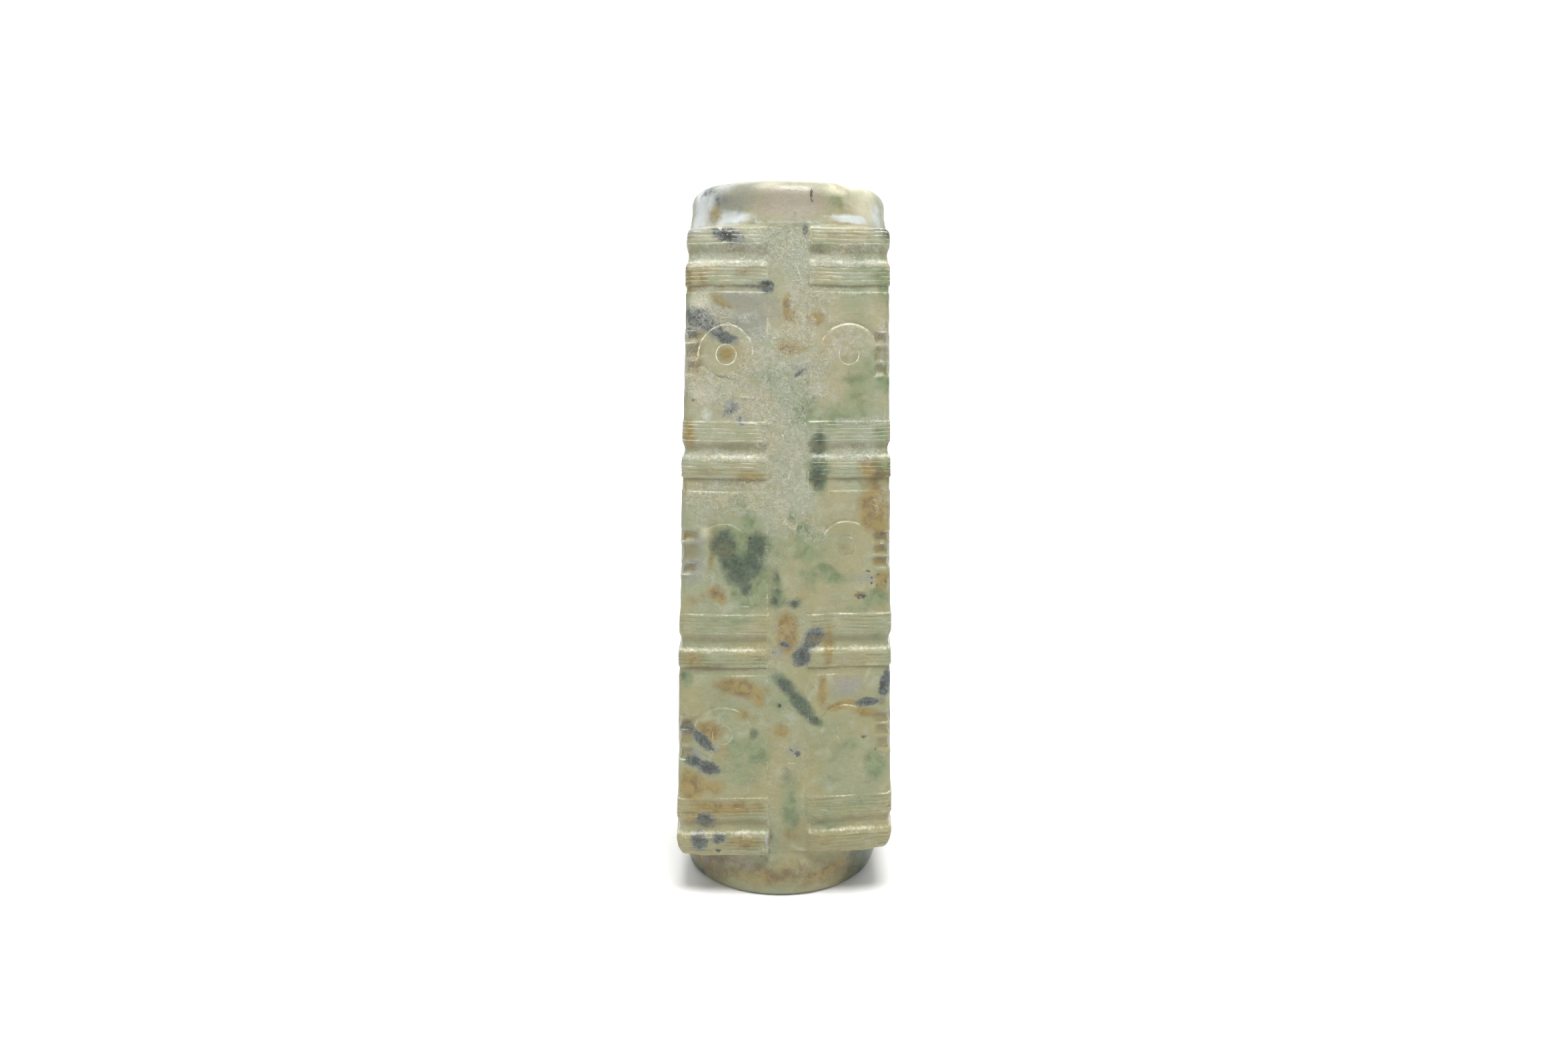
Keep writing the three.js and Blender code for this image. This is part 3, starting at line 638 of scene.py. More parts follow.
    # edges of bands and blocks are nibbled
    nibble = smooth(0.35, 0.9, waves(p0, 4.2, 61)) * 0.2
    for (a, b, c, d, e) in BAND_PAIRS:
        for h in (a, b, c, d):
            depth = depth + nibble * np.exp(-((w - h) / 0.5) ** 2) * block * body
    depth = depth + smooth(0.3, 0.9, waves(p0, 6.0, 62)) * 0.32 * smooth(33.0, 34.2, aq) * body
    depth = depth + 0.18 * smooth(0.25, 0.9, waves(p0, 5.5, 63)) * np.exp(-((aq - 6.5) / 0.6) ** 2) * body
    if k == 0:
        for (sx, sz, rx, rz, turn, dd) in SCARS:
            a = math.radians(turn)
            dx, dz = x0 - sx, z - sz
            u = (dx * math.cos(a) + dz * math.sin(a)) / rx
            v = (-dx * math.sin(a) + dz * math.cos(a)) / rz
            r = np.sqrt(u * u + v * v)
            depth = depth + np.where(body, dd * (1 - smooth(0.55, 1.05, r)), 0)
            if dd < 0:
                chalk_and_highlight = np.maximum(chalk_and_highlight, 0.45 * clamp01(1.3 - r) * body)
            elif min(rx, rz) < 0.45:
                chalk_and_highlight = np.maximum(chalk_and_highlight, 0.42 * clamp01(1.2 - r) * body)
            elif rz > 2.2 * rx:
                chalk_and_highlight = np.maximum(chalk_and_highlight, 0.42 * np.exp(-((r - 1.0) / 0.12) ** 2) * (v < 0.3) * body)

    # body, then the two ledges and the collars
    zs = np.clip(zz, BODY_LOW_Z, BODY_TOP_Z)
    x, o = body_point(k, q, zs, np.where(body | True, depth + edge_wear(q, zs), 0))
    # the channel rolls down into the lower collar
    run = lerp(COLLAR_LOW_NECK_R - 0.25, o, smooth(11, 31, zs))
    in_groove = 1 - smooth(5.75, 6.4, aq)
    in_groove = lerp(in_groove, 1 - smooth(4.6, 11.5, aq), (1 - smooth(19, 31, w)) * (side > 0))
    o = np.where(body | low, lerp(o, run, in_groove), o)
    x = x + shift_x
    zs = zs + shift_z

    xr, orr = body_point(k, q, np.full(n, BODY_LOW_Z), np.zeros(n))
    lr = np.hypot(xr, orr)
    xt, ot = body_point(k, q, np.full(n, BODY_TOP_Z), np.zeros(n))
    lt = np.hypot(xt, ot)
    ex = ramp(LOW_W[::-1], LOW_E[::-1], w)
    et = ramp(TOP_W, TOP_E, w)

    soft = 0.1 * waves(p0, 18, 71) + 0.05 * waves(p0, 6, 72)
    # lower collar radius
    r_low = (COLLAR_LOW_R - COLLAR_LOW_ROUND * (1 - np.cos(turn_low))
             - (COLLAR_LOW_R - COLLAR_LOW_NECK_R) * smooth(9, 14.4, z)) + soft * smooth(0.0, 3.0, w)
    z_low = z
    r_top = lerp(COLLAR_TOP_NECK_R, COLLAR_TOP_R, smooth(211.5, 219.0, z)) - COLLAR_TOP_ROUND * (1 - np.cos(turn_top))
    r_top = r_top + soft * (1 - smooth(222.5, 225.7, w))
    z_top = z

    # on the ledge the section shrinks towards the neck ring
    ring_x, ring_o = xr / lr * r_low, orr / lr * r_low
    X = np.where(low, lerp(x, ring_x, ex), x)
    O = np.where(low, lerp(o, ring_o, ex), o)
    Z = np.where(low, z_low, zs)
    ring_x, ring_o = xt / lt * r_top, ot / lt * r_top
    X = np.where(top, lerp(x, ring_x, et), X)
    O = np.where(top, lerp(o, ring_o, et), O)
    Z = np.where(top, z_top, Z)
    chalk_and_highlight = np.where(low | top, 0, chalk_and_highlight)
    grime_and_shade = np.where(low | top, 0, grime_and_shade)
    # pale rubbed lip along the block ends, with a painted highlight along the upper one, and painted shade in the
    # corners where the collars meet the ledges
    lip_rub_and_highlight = np.exp(-((w - 211.6) / 0.5) ** 2) * 0.7 + np.exp(-((w - 16.3) / 0.5) ** 2) * 0.25
    chalk_and_highlight = np.maximum(chalk_and_highlight, lip_rub_and_highlight * (aq > 6.6) * (0.6 + 0.4 * waves(p0, 9, 81)))
    grime_and_shade = np.maximum(grime_and_shade, 0.6 * np.exp(-((w - 213.9) / 0.8) ** 2) * smooth(7, 12, aq))
    grime_and_shade = np.maximum(grime_and_shade, 0.7 * np.exp(-((w - 14.0) / 1.0) ** 2) * smooth(7, 12, aq))
    return place(k, X, O, Z), chalk_and_highlight, clamp01(grime_and_shade)


# ---------------------------------------------------------------- stains
# What the stone shows on the front: across from the axis,
# height, half width, half height, turn in degrees, strength.
# Some marks on the upper collar and one on a flute are painted highlights, and two on the lower collar are partly
# painted shade.
STAINS = {
    "grey": [
        (-10.7, 185.7, 8.4, 9, 20, 1), (-16.2, 157.9, 8.1, 5.6, 0, 0.5), (4.8, 170.2, 4.4, 3.6, 0, 0.6),
        (7.1, 81.4, 2.1, 2.6, 0, 0.6), (-1.7, 82.5, 2.5, 2.6, 0, 0.9), (20.1, 71.7, 8.4, 4.7, 0, 0.9),
        (3.1, 50.6, 3.4, 2.6, 0, 0.9), (-28.5, 49.8, 3.8, 2.6, 20, 0.9), (-13.8, 190.0, 11.0, 4.3, 0, 1),
        (-20.2, 188.1, 6.5, 2.8, 0, 0.7), (-28.6, 109.7, 4.9, 7.0, 0, 1), (-26.9, 117.6, 3.5, 3.1, 0, 0.8),
        (-2.7, 186.5, 2.2, 3.3, 0, 0.7), (25.0, 106.0, 5.5, 2.9, 0, 0.8), (-20, 219.5, 8, 5, 0, 0.4),
    ],
    "pale": [
        # all marks on the upper collar, at its sides, along its top edge and in the band at its foot, and the one on a
        # low flute, are painted highlights
        (27.6, 216.5, 4, 7, 0, 0.55), (24, 176, 5, 7, 0, 0.2), (8.6, 27.0, 2.6, 2.6, 0, 0.35),
        (-24.5, 156.5, 4, 4, 0, 0.4), (-5.2, 20.6, 0.9, 4.5, 0, 0.7), (-27, 218.5, 8, 9, 0, 1),
        (-19, 214.8, 10, 2.8, 0, 1), (-22, 223.5, 7, 2.5, 0, 0.9), (21, 214.6, 12, 1.7, 0, 0.9),
        (-2, 213.2, 30, 0.9, 0, 0.5),
    ],
    "pink": [
        (19.1, 81.3, 6.3, 4.7, 0, 0.4), (18.8, 72.5, 7.1, 3.9, 0, 0.8), (-13.7, 68.3, 3.8, 1.9, 10, 0.9),
        (-13.6, 11.2, 9.8, 3.3, 15, 0.8), (0.5, 219, 14.5, 7.5, 0, 0.95),
    ],
    "cream": [
        # the three marks on the upper collar are painted highlights on its right side and along its top edge
        (-25.3, 120.1, 2.5, 4.1, 0, 0.5), (24, 219, 10, 8, 0, 0.75), (16, 223, 7, 3, 0, 0.8),
        (-9, 224, 10, 1.8, 0, 0.8), (-24, 200.5, 8, 3, 0, 0.6), (-26, 189, 6, 5, 0, 0.6), (-25, 163, 7, 5, 0, 0.5),
    ],
    "green": [
        (14.3, 218.9, 2.7, 3.5, 0, 0.5), (-1.3, 215.8, 1.2, 0.8, 0, 0.5), (1.8, 215.1, 0.8, 1.1, 0, 0.6),
        (1.4, 212.3, 1, 1.1, 0, 0.6), (0.1, 209.9, 1, 1, 0, 0.5), (-2.8, 208.7, 1.8, 1.7, 0, 0.5),
        (2.5, 206.2, 1.8, 1.5, 0, 0.5), (-6.2, 168.4, 6.8, 3.2, 0, 0.6), (20.7, 166.8, 6.1, 3.2, 10, 0.7),
        (22, 160.8, 8.5, 8, 0, 0.5), (4.9, 157.3, 4.8, 7.2, 20, 0.9), (14, 154.8, 8.1, 5.6, 0, 0.5),
        (10, 205.7, 5.1, 1.7, 0, 0.7), (21.3, 200.5, 8.4, 2.3, 0, 0.6), (27.8, 197.9, 2.8, 3.5, 0, 0.8),
        (28.7, 149.7, 3.3, 5.3, 0, 0.8), (-14.2, 128.5, 4.5, 3.7, 10, 0.6), (-20.3, 120.2, 2.9, 4.5, 0, 0.4),
        (-7.6, 102.6, 5.4, 7.1, 20, 0.7), (-2.8, 100.9, 3.7, 6.3, 0, 0.8), (23, 96.8, 6.2, 1.9, 0, 0.5),
        (29.5, 86.9, 3.8, 2.1, 0, 0.8), (-15.2, 92.6, 12.4, 1.7, 0, 0.4), (-10, 80.4, 8.3, 1.9, 0, 0.35),
        (-31.1, 74, 2.3, 3.9, 0, 0.9), (-1.2, 73.5, 5.4, 3, 45, 0.8), (4.7, 66.4, 8.4, 3.2, 50, 0.8),
        (11, 60.1, 2.9, 1.7, 30, 0.7), (-1.2, 65.8, 4.6, 3, 0, 0.5), (-15.8, 52.2, 2.7, 3.9, 0, 0.7),
        (-8.6, 49.7, 5.5, 6.6, 20, 0.8), (-12, 42.4, 5.9, 5.7, 0, 0.5), (2, 39.1, 4.2, 7.5, 0, 0.6),
        (15.2, 59.2, 6.3, 1.7, 10, 0.3), (20.6, 52.6, 4.2, 2.6, 0, 0.7), (28.6, 45.8, 4.3, 6.2, 0, 0.9),
        (14.4, 41.7, 6.3, 3.1, 0, 0.5), (2, 31.4, 3.8, 9.8, 0, 0.8), (14.6, 26.4, 8.1, 2, 0, 0.9),
        (23, 33.8, 7.2, 2.9, 0, 0.6), (1.4, 6.4, 3.5, 2.8, 0, 0.35), (26.6, 12.5, 3.4, 4.5, 10, 1),
        (23, 0.2, 4.8, 3.4, 0, 0.5), (-11.1, 124.0, 3.5, 3.5, 0, 1), (-14.2, 100.9, 3.3, 2.9, 0, 0.95),
        (-7.0, 109.5, 3.1, 5.7, 0, 0.9), (2.1, 125.4, 2.0, 2.0, 0, 1), (5.2, 120.3, 2.7, 5.3, 0, 1),
        (7.4, 113.6, 3.1, 4.5, 0, 0.9), (12.5, 108.8, 4.1, 2.7, 35, 1), (15.0, 106.1, 4.5, 2.3, 0, 1),
        (7.8, 107.4, 6.6, 6.6, 0, 0.6), (28.2, 100.2, 4.9, 3.1, 0, 1), (-10.0, 98.4, 8.8, 2.9, 0, 0.6),
        (10.2, 142, 4.2, 11, 0, 0.95), (-12.1, 113, 11, 13, 0, 0.8), (24, 168, 9, 9, 0, 0.5),
        (20, 156, 10, 7, 0, 0.5), (2, 163, 8, 9, 0, 0.45), (8, 116, 14, 12, 0, 0.5), (-20, 66, 8, 7, 0, 0.35),
        (-12, 48, 10, 10, 0, 0.5), (14, 50, 12, 9, 0, 0.35), (24, 203, 9, 5, 0, 0.5), (18, 194, 12, 4, 0, 0.4),
        (-16, 125, 12, 7, 0, 0.4), (12, 30, 14, 9, 0, 0.4),
    ],
    "dgreen": [
        (0.3, 98.4, 6.9, 1.7, -10, 0.6), (-31.7, 74.9, 1.5, 2.1, 0, 0.6), (-9.7, 56.2, 1.9, 2.5, 0, 0.7),
        (1.1, 42.5, 2.1, 4.9, 0, 0.4), (4, 26.9, 2.1, 4.0, 0, 0.4), (11.8, 26.6, 2.4, 1.5, 0, 0.5),
        (28.1, 4.1, 3.5, 7.1, 20, 0.9), (-28.2, 1.1, 4.3, 7.2, -20, 0.7), (-19.1, 116.5, 4.8, 4.8, 0, 1),
        (-16.6, 111.5, 5.9, 4.1, 45, 1), (-13.8, 108.2, 5.5, 6.2, 0, 1), (-8.4, 116.1, 4.1, 5.9, 0, 0.9),
        (-10.7, 110.7, 5.0, 5.5, 0, 0.95), (-12.1, 103.2, 3.0, 3.5, 0, 0.85), (-18.7, 120.2, 3.9, 2.6, 0, 0.7),
        (-2.9, 106.8, 2.0, 3.5, 0, 0.65), (-3.2, 98.8, 1.9, 1.9, 0, 0.8), (3.0, 98.0, 2.1, 1.7, 0, 1),
        (-2.4, 102.0, 2.0, 1.6, 0, 0.65), (9.8, 146.8, 2.7, 6.0, 5, 0.9), (9.7, 137.7, 3.4, 5.8, 0, 0.85),
        (0.5, 71.8, 5.8, 2.5, 45, 1), (4.7, 66.4, 7.8, 2.7, 52, 1), (9.0, 61.0, 3.4, 2.0, 40, 0.9),
        (25, 7, 6.7, 9.0, 0, 0.75),
    ],
    "ochre": [
        (14.8, 219.3, 1.8, 2.9, 0, 0.5), (-18, 174.5, 2.6, 2.8, 0, 0.8), (-26.6, 196.3, 3.6, 4.7, 0, 0.4),
        (-19.6, 189.5, 5.6, 2.3, 40, 0.4), (-12.2, 171.8, 5.2, 5.1, 0, 0.3), (-27.3, 171.8, 2.8, 5.9, 0, 0.5),
        (-29.4, 150.8, 2, 6.5, 0, 0.7), (-12.3, 198.5, 5.9, 2.3, 0, 0.35), (-24.2, 199.2, 6, 2.3, 0, 0.4),
        (0.7, 176.5, 4.8, 2.6, 0, 0.8), (11.7, 176.7, 3.2, 3.9, 0, 0.3), (15.7, 209.3, 9.5, 1.5, 0, 0.4),
        (28.1, 139.4, 6.2, 3.7, 0, 0.9), (-24, 139.6, 6.5, 2.4, 0, 0.3), (-10.1, 137.5, 6.1, 2, 0, 0.5),
        (-22.4, 116, 1.4, 10.4, 5, 0.5), (-26.6, 99.2, 5.4, 2.9, 0, 0.4), (16.8, 98.3, 6.2, 1.7, 0, 0.3),
        (29.3, 120.1, 2.9, 4.6, 0, 0.7), (29.6, 103.4, 2.5, 4.2, 0, 0.6), (0.8, 88.9, 3.7, 7.6, 0, 1),
        (-5.8, 81.5, 4.2, 1.7, -20, 0.4), (13.5, 84.6, 2.1, 7.2, 0, 0.8), (-28.8, 80.1, 4.6, 3.9, 0, 0.6),
        (11.8, 70, 1.7, 5.6, 0, 0.8), (17.7, 65.7, 6.7, 1.3, -15, 0.8), (25.7, 63.3, 5.5, 2, 10, 0.7),
        (-14.5, 71.3, 9.2, 3.7, 8, 0.9), (-8.3, 67.9, 2.9, 3.9, 0, 0.7), (-12, 62.1, 4.2, 3, 30, 0.4),
        (-0.3, 57.1, 3.8, 2.6, 10, 0.7), (-24, 56.9, 5.1, 4.4, 10, 0.8), (-30, 39.1, 4.3, 5.8, 0, 1),
        (-23, 38.9, 5.1, 3.1, 0, 0.6), (-18.7, 50, 3, 3.5, 0, 0.4), (-18.3, 31.9, 13.2, 3.1, 0, 0.7),
        (-26.9, 28.8, 5.6, 4.5, 0, 0.7), (-11.9, 20.1, 7.7, 2.7, 0, 0.6), (12.5, 20.8, 6.8, 3.1, 0, 0.4),
        (-6.8, 6.6, 13.1, 4.6, 0, 0.6), (10.5, 5.7, 8.8, 3.3, 0, 0.5), (3, 22.5, 4.3, 4, 0, 0.5),
        (-20.8, 100.8, 4.1, 2.7, 45, 1), (-0.3, 188.1, 1.4, 4.9, 0, 1), (0.9, 185.5, 1.8, 2.6, 0, 0.9),
        (8.8, 184.9, 3.0, 2.2, -10, 1), (-30.8, 119.4, 1.8, 1.6, 0, 0.9), (28.9, 115.1, 2.0, 1.4, 0, 1),
        (29.0, 111.3, 2.5, 1.4, 0, 1), (30.1, 106.5, 2.9, 1.8, 0, 0.8), (26.6, 129.4, 5.3, 3.5, 0, 1),
        (27, 128.4, 5, 8.4, 0, 1),
    ],
    "brown": [
        (-6, 218.2, 1, 0.6, 0, 0.6), (-17.4, 220.8, 0.8, 0.6, 0, 0.5), (28.9, 138, 4.5, 1.4, -5, 1),
        (23.4, 100.7, 2.5, 1.1, -5, 0.9), (-24.2, 77.8, 8.8, 1.1, -3, 0.8), (-18.3, 76.9, 4.2, 0.6, 0, 0.6),
        (30.7, 66.7, 1.7, 2.2, 0, 0.7), (25, 55.1, 1.9, 1.1, 0, 0.7), (25.7, 40.4, 3, 1.1, 0, 0.5),
        (-4.7, 21.3, 1.5, 4.9, 10, 0.7), (13.7, 16.8, 8.5, 1.4, -8, 0.5), (1.8, 9.2, 20.5, 5.5, 0, 0.6),
        # these two wide marks on the lower collar's sides are partly brown stain, partly painted shade under the ledge
        (-22, 8, 8, 8, 0, 0.75), (20, 6, 9, 6, 0, 0.55),
    ],
    "blue": [
        (-16.8, 158.7, 2.6, 3.5, 20, 0.6), (-13.8, 154.5, 2.2, 2.0, 0, 0.6), (-18.7, 156.4, 1.4, 1.2, 0, 0.5),
        (4.4, 169.4, 2.2, 1.5, -35, 0.5), (5.2, 81.5, 3.0, 4.2, 20, 1), (8.7, 87.2, 3.2, 4.8, 35, 0.95),
        (-0.2, 85.3, 2.3, 1.4, 20, 0.7), (-3.3, 82.5, 1.4, 1.1, 0, 0.5), (31.7, 72.3, 2.3, 5.4, 10, 1),
        (26.1, 66.6, 4.6, 1.6, -8, 1), (-31, 58, 3.0, 2.5, 20, 1), (-25.7, 53.8, 6.1, 2.1, 40, 1),
        (-28.9, 47.1, 3.4, 2.2, 10, 1), (-24.3, 45, 4.6, 2.5, 18, 1), (-25.2, 27.1, 4.3, 3.4, 20, 0.8),
        (-27.3, 20.3, 3.1, 3.9, 0, 0.9), (-20.9, 21.6, 3.1, 2.0, -20, 0.9), (-26.6, 185.0, 5.6, 3.5, 20, 1),
        (-22.6, 182.6, 4.9, 2.2, 30, 1), (-19.2, 179.7, 5.4, 2.2, 20, 0.9), (-29.3, 180.7, 2.4, 2.2, 0, 0.9),
        (-18.6, 209.7, 6.4, 3.0, 25, 0.85), (-6.3, 194.3, 2.9, 2.2, 20, 1), (-11.3, 194.3, 4.0, 1.0, 0, 0.55),
        (4.8, 210.6, 1.2, 3.2, 0, 0.6), (-21, 220.5, 6.6, 2.8, 25, 0.38), (-14.5, 217.2, 5.0, 2.1, 45, 0.36),
    ],
    "dark": [
        (6.7, 221.3, 0.6, 2.1, 5, 0.8), (6.9, 219.2, 0.8, 0.9, 0, 0.6), (-28.2, 160.8, 0.6, 0.8, 0, 0.7),
        (3.2, 168.4, 1.6, 0.8, -35, 0.8), (31.1, 112.1, 0.6, 1, 0, 0.7), (25.3, 108.3, 0.5, 0.5, 0, 1),
        (26.8, 106.2, 0.5, 0.5, 0, 1), (26.7, 104.5, 0.5, 0.5, 0, 1), (28.7, 107.2, 0.4, 0.4, 0, 0.9),
        (31.2, 104.4, 0.5, 0.5, 0, 1), (28.3, 103.8, 0.4, 0.4, 0, 0.8), (5.4, 81.7, 1.5, 2.1, 10, 0.7),
        (9.9, 87.8, 1.2, 1.9, 30, 0.7), (19, 77.7, 1.3, 0.9, 0, 0.6), (30.8, 71.9, 1.5, 2.2, 0, 0.8),
        (25.9, 66.4, 2.5, 0.9, -8, 0.7), (22.2, 69.9, 0.6, 0.6, 0, 0.6), (-1.6, 65.4, 0.7, 0.8, 0, 1),
        (4.2, 49.7, 1.5, 1.3, 0, 0.8), (2.3, 51, 1.7, 0.9, 30, 0.5), (-31.4, 58.4, 1.7, 1.1, 20, 0.6),
        (-25.1, 52.9, 3.4, 0.9, 40, 0.8), (-24.7, 45, 3, 1.1, 18, 0.9), (25, 55.3, 1.1, 0.7, 0, 0.7),
        (28.7, 51.1, 0.6, 0.4, 0, 0.7), (-27.8, 20.5, 1.5, 1.6, 0, 0.6), (-21.1, 17.3, 1.1, 1.1, 0, 0.8),
        (-11.4, 4.4, 0.5, 1.2, 0, 0.8), (-17.0, 208.8, 1.8, 1.4, 0, 1), (-19.2, 209.7, 1.2, 1.0, 0, 0.8),
        (-21.8, 210.5, 1.0, 0.8, 0, 0.6), (-6.3, 194.9, 1.4, 1.0, 0, 0.8), (30.1, 119.8, 1.6, 0.7, -15, 1),
        (23.4, 100.1, 2.0, 0.5, -5, 1), (-19.3, 117.7, 0.8, 1.0, 0, 0.7), (-10.9, 118.6, 0.8, 0.8, 0, 0.8),
        (-26.6, 185.0, 2.4, 1.0, 20, 0.7), (-22.6, 182.2, 2.4, 0.8, 30, 0.7), (-28.3, 183.2, 1.8, 0.6, 20, 0.6),
    ],
}

# The other faces are in keeping and plainer: a few marks of each kind, drawn
# from a seeded generator.
OTHER = {"grey": 5, "pale": 3, "pink": 3, "cream": 2, "green": 14, "dgreen": 4, "ochre": 14, "brown": 4, "blue": 5, "dark": 6}
SIZE = {"grey": (6, 6), "pale": (6, 3), "pink": (7, 4), "cream": (5, 5), "green": (5, 5), "dgreen": (3, 4), "ochre": (5, 4),
        "brown": (5, 1.3), "blue": (3, 2.2), "dark": (0.9, 0.8)}

NOT_NEAR_CORNERS = ("blue", "dark", "brown", "dgreen", "grey", "pink")

# marks on the rims, ledges and in the mouth, from the view onto the end:
# kind, x, y, z, three half sizes, strength
ROUND = [
    ("green", 27, 2, 224, 7, 16, 8, 0.9), ("brown", 26, -9, 225, 3, 3, 3, 0.7), ("dark", 25, -7, 225.6, 0.9, 0.9, 2, 0.9),
    ("dark", 27, -10, 225.3, 0.7, 0.7, 2, 0.9), ("dark", 24, -11, 225.6, 0.6, 0.6, 2, 0.8), ("cream", 18, -20, 224, 8, 8, 7, 0.8),
    ("ochre", 14, -23, 225, 6, 5, 4, 0.5), ("grey", -14, -24, 223, 14, 12, 9, 1.0), ("blue", -22, -16, 224, 5, 6, 4, 0.6),
    ("blue", -27, -3, 225, 5, 5, 5, 0.9), ("dark", -27, -2, 225.4, 2.0, 1.6, 2, 0.7), ("blue", -26, 7, 224, 4, 4, 4, 0.7),
    ("green", -21, 19, 224, 9, 9, 8, 0.8), ("ochre", -20, 20, 225, 6, 6, 5, 0.5), ("cream", 4, 27, 224, 14, 6, 8, 0.7),
    ("ochre", 6, 28, 222, 12, 6, 6, 0.5), ("dgreen", 31, -30, 212.5, 7, 7, 5, 0.9), ("brown", 30, -29, 212.5, 5, 5, 4, 0.7),
    ("grey", -29, -29, 212.5, 8, 8, 5, 1.0), ("blue", -30, -28, 212.5, 4, 5, 4, 0.5), ("grey", 29, 30, 212.5, 8, 8, 5, 0.8),
    ("pink", -29, 29, 212.5, 9, 9, 5, 1.0), ("brown", -30, 30, 212.3, 4, 4, 3, 0.4),
    ("dgreen", 12, -13, 214, 4, 4, 12, 0.8), ("dgreen", -14, 8, 212, 4, 5, 14, 0.7), ("dgreen", 5, 16, 216, 5, 4, 9, 0.6),
    ("green", 0, -18, 214, 9, 5, 12, 0.7), ("ochre", 16, 8, 216, 5, 5, 9, 0.6), ("grey", -18, -4, 215, 5, 7, 9, 0.6),
    ("brown", 0, 17, 8, 12, 6, 10, 0.6), ("dgreen", 14, -8, 9, 6, 6, 10, 0.6), ("green", -15, -6, 8, 7, 7, 10, 0.7),
]
KINDS = ["grey", "pale", "pink", "cream", "green", "dgreen", "ochre", "brown", "blue", "dark"]

for spots in STAINS.values():
    for (sx, sz, rx, rz, turn, s) in spots:
        if min(rx, rz) < 1.3 and max(rx, rz) < 2.2 and BODY_LOW_Z + 1 < sz < BODY_TOP_Z - 1:
            FINE_SPOTS.append((sx, sz, max(min(rx, rz), 0.45)))


def stain_masks(p):
    """One mask for each kind: 1 in the middle of a mark, 0.3 at its edge, 0 a little outside it."""
    masks = {kind: np.zeros(len(p)) for kind in KINDS}

    def mark(kind, m, dist, s):
        v = clamp01(1.3 - dist) / 1.3
        masks[kind][m] = np.maximum(masks[kind][m], v * s)

    rng = np.random.default_rng(7)
    for k in range(4):
        a = k * math.pi / 2
        # into the frame of the front face
        ax = axis_x(p[:, 2])
        lx = (p[:, 0] - ax) * math.cos(a) + p[:, 1] * math.sin(a)
        ly = -(p[:, 0] - ax) * math.sin(a) + p[:, 1] * math.cos(a)
        z = p[:, 2]
        if k == 0:
            marks = [(kind,) + spot for kind, spots in STAINS.items() for spot in spots]
        else:
            marks = []
            for kind, number in OTHER.items():
                for _ in range(number):
                    sx, sz = rng.uniform(-23, 23) if kind in NOT_NEAR_CORNERS else rng.uniform(-31, 31), rng.uniform(4, 221)
                    big = rng.uniform(0.6, 1.5)
                    rx, rz = SIZE[kind][0] * big, SIZE[kind][1] * big * rng.uniform(0.7, 1.5)
                    faint = {"pale": 0.45, "blue": 0.75}.get(kind, 1.0)
                    marks.append((kind, sx, sz, rx, rz, rng.uniform(-40, 40), rng.uniform(0.5, 1.0) * faint))
                    if kind == "blue":
                        marks.append(("dark", sx, sz, rx * 0.6, rz * 0.4, rng.uniform(-40, 40), 0.5))
        for (kind, sx, sz, rx, rz, turn, s) in marks:
            reach = max(rx, rz) * 1.4 + 1
            m = np.nonzero((np.abs(lx - sx) < reach) & (np.abs(z - sz) < reach) & (ly < -8))[0]
            if not len(m):
                continue
            c = float(half_width(np.array([min(max(sz, BODY_LOW_Z), BODY_TOP_Z)]))[0])
            if BODY_LOW_Z < sz < BODY_TOP_Z:
                y_face = -(c + float(bow(np.array([sz]))[0]) * (1 - min(1, (sx / c) ** 2)))
            else:
                y_face = -math.sqrt(max(9.0, 31.5 ** 2 - sx * sx))
            t = math.radians(-turn)
            dx, dz = lx[m] - sx, z[m] - sz
            u = (dx * math.cos(t) + dz * math.sin(t)) / rx
            v = (-dx * math.sin(t) + dz * math.cos(t)) / rz
            deep = np.maximum(0, ly[m] - y_face - 0.8) / max(3.0, min(rx, rz) * 0.9)
            mark(kind, m, np.sqrt(u * u + v * v + deep * deep), s)
    for (kind, cx, cy, cz, rx, ry, rz, s) in ROUND:
        dist = np.sqrt(((p[:, 0] - cx) / rx) ** 2 + ((p[:, 1] - cy) / ry) ** 2 + ((p[:, 2] - cz) / rz) ** 2)
        m = np.nonzero(dist < 1.35)[0]
        if len(m):
            mark(kind, m, dist[m], s)
    return masks


# ---------------------------------------------------------------- mesh
def zipper(loop_a, ang_a, loop_b, ang_b):
    """Triangles between two closed loops whose angles both rise once round; seen from outside, loop b is above."""
    faces = []
    na, nb = len(loop_a), len(loop_b)
    start = int(np.argmin(np.abs((ang_b - ang_a[0] + math.pi) % (2 * math.pi) - math.pi)))
    loop_b = np.roll(loop_b, -start)
    ang_b = np.roll(ang_b, -start)
    ua = np.unwrap(np.append(ang_a, ang_a[0]))
    ub = np.unwrap(np.append(ang_b, ang_b[0]))
    ub += 2 * math.pi * round((ua[0] - ub[0]) / (2 * math.pi))
    i = j = 0
    while i < na or j < nb:
        go_a = j == nb or (i < na and ua[i + 1] <= ub[j + 1])
        if go_a:
            faces.append((loop_a[i % na], loop_a[(i + 1) % na], loop_b[j % nb]))
            i += 1
        else:
            faces.append((loop_a[i % na], loop_b[(j + 1) % nb], loop_b[j % nb]))
            j += 1
    return faces


def bore_point(radius, angle, z):
    """A point at a radius from the drilled axis."""
    line = axis_x(np.array([0.0]))[0] + (axis_x(np.array([HEIGHT]))[0] - axis_x(np.array([0.0]))[0]) * z / HEIGHT
    x = radius * np.cos(angle)
    y = radius * np.sin(angle)
    lift = RIM_TILT * smooth(RIM_TILT_FROM_Z, RIM_TILT_FROM_Z + 12, z)
    return np.stack([x + line, y, z - lift * x], 1)


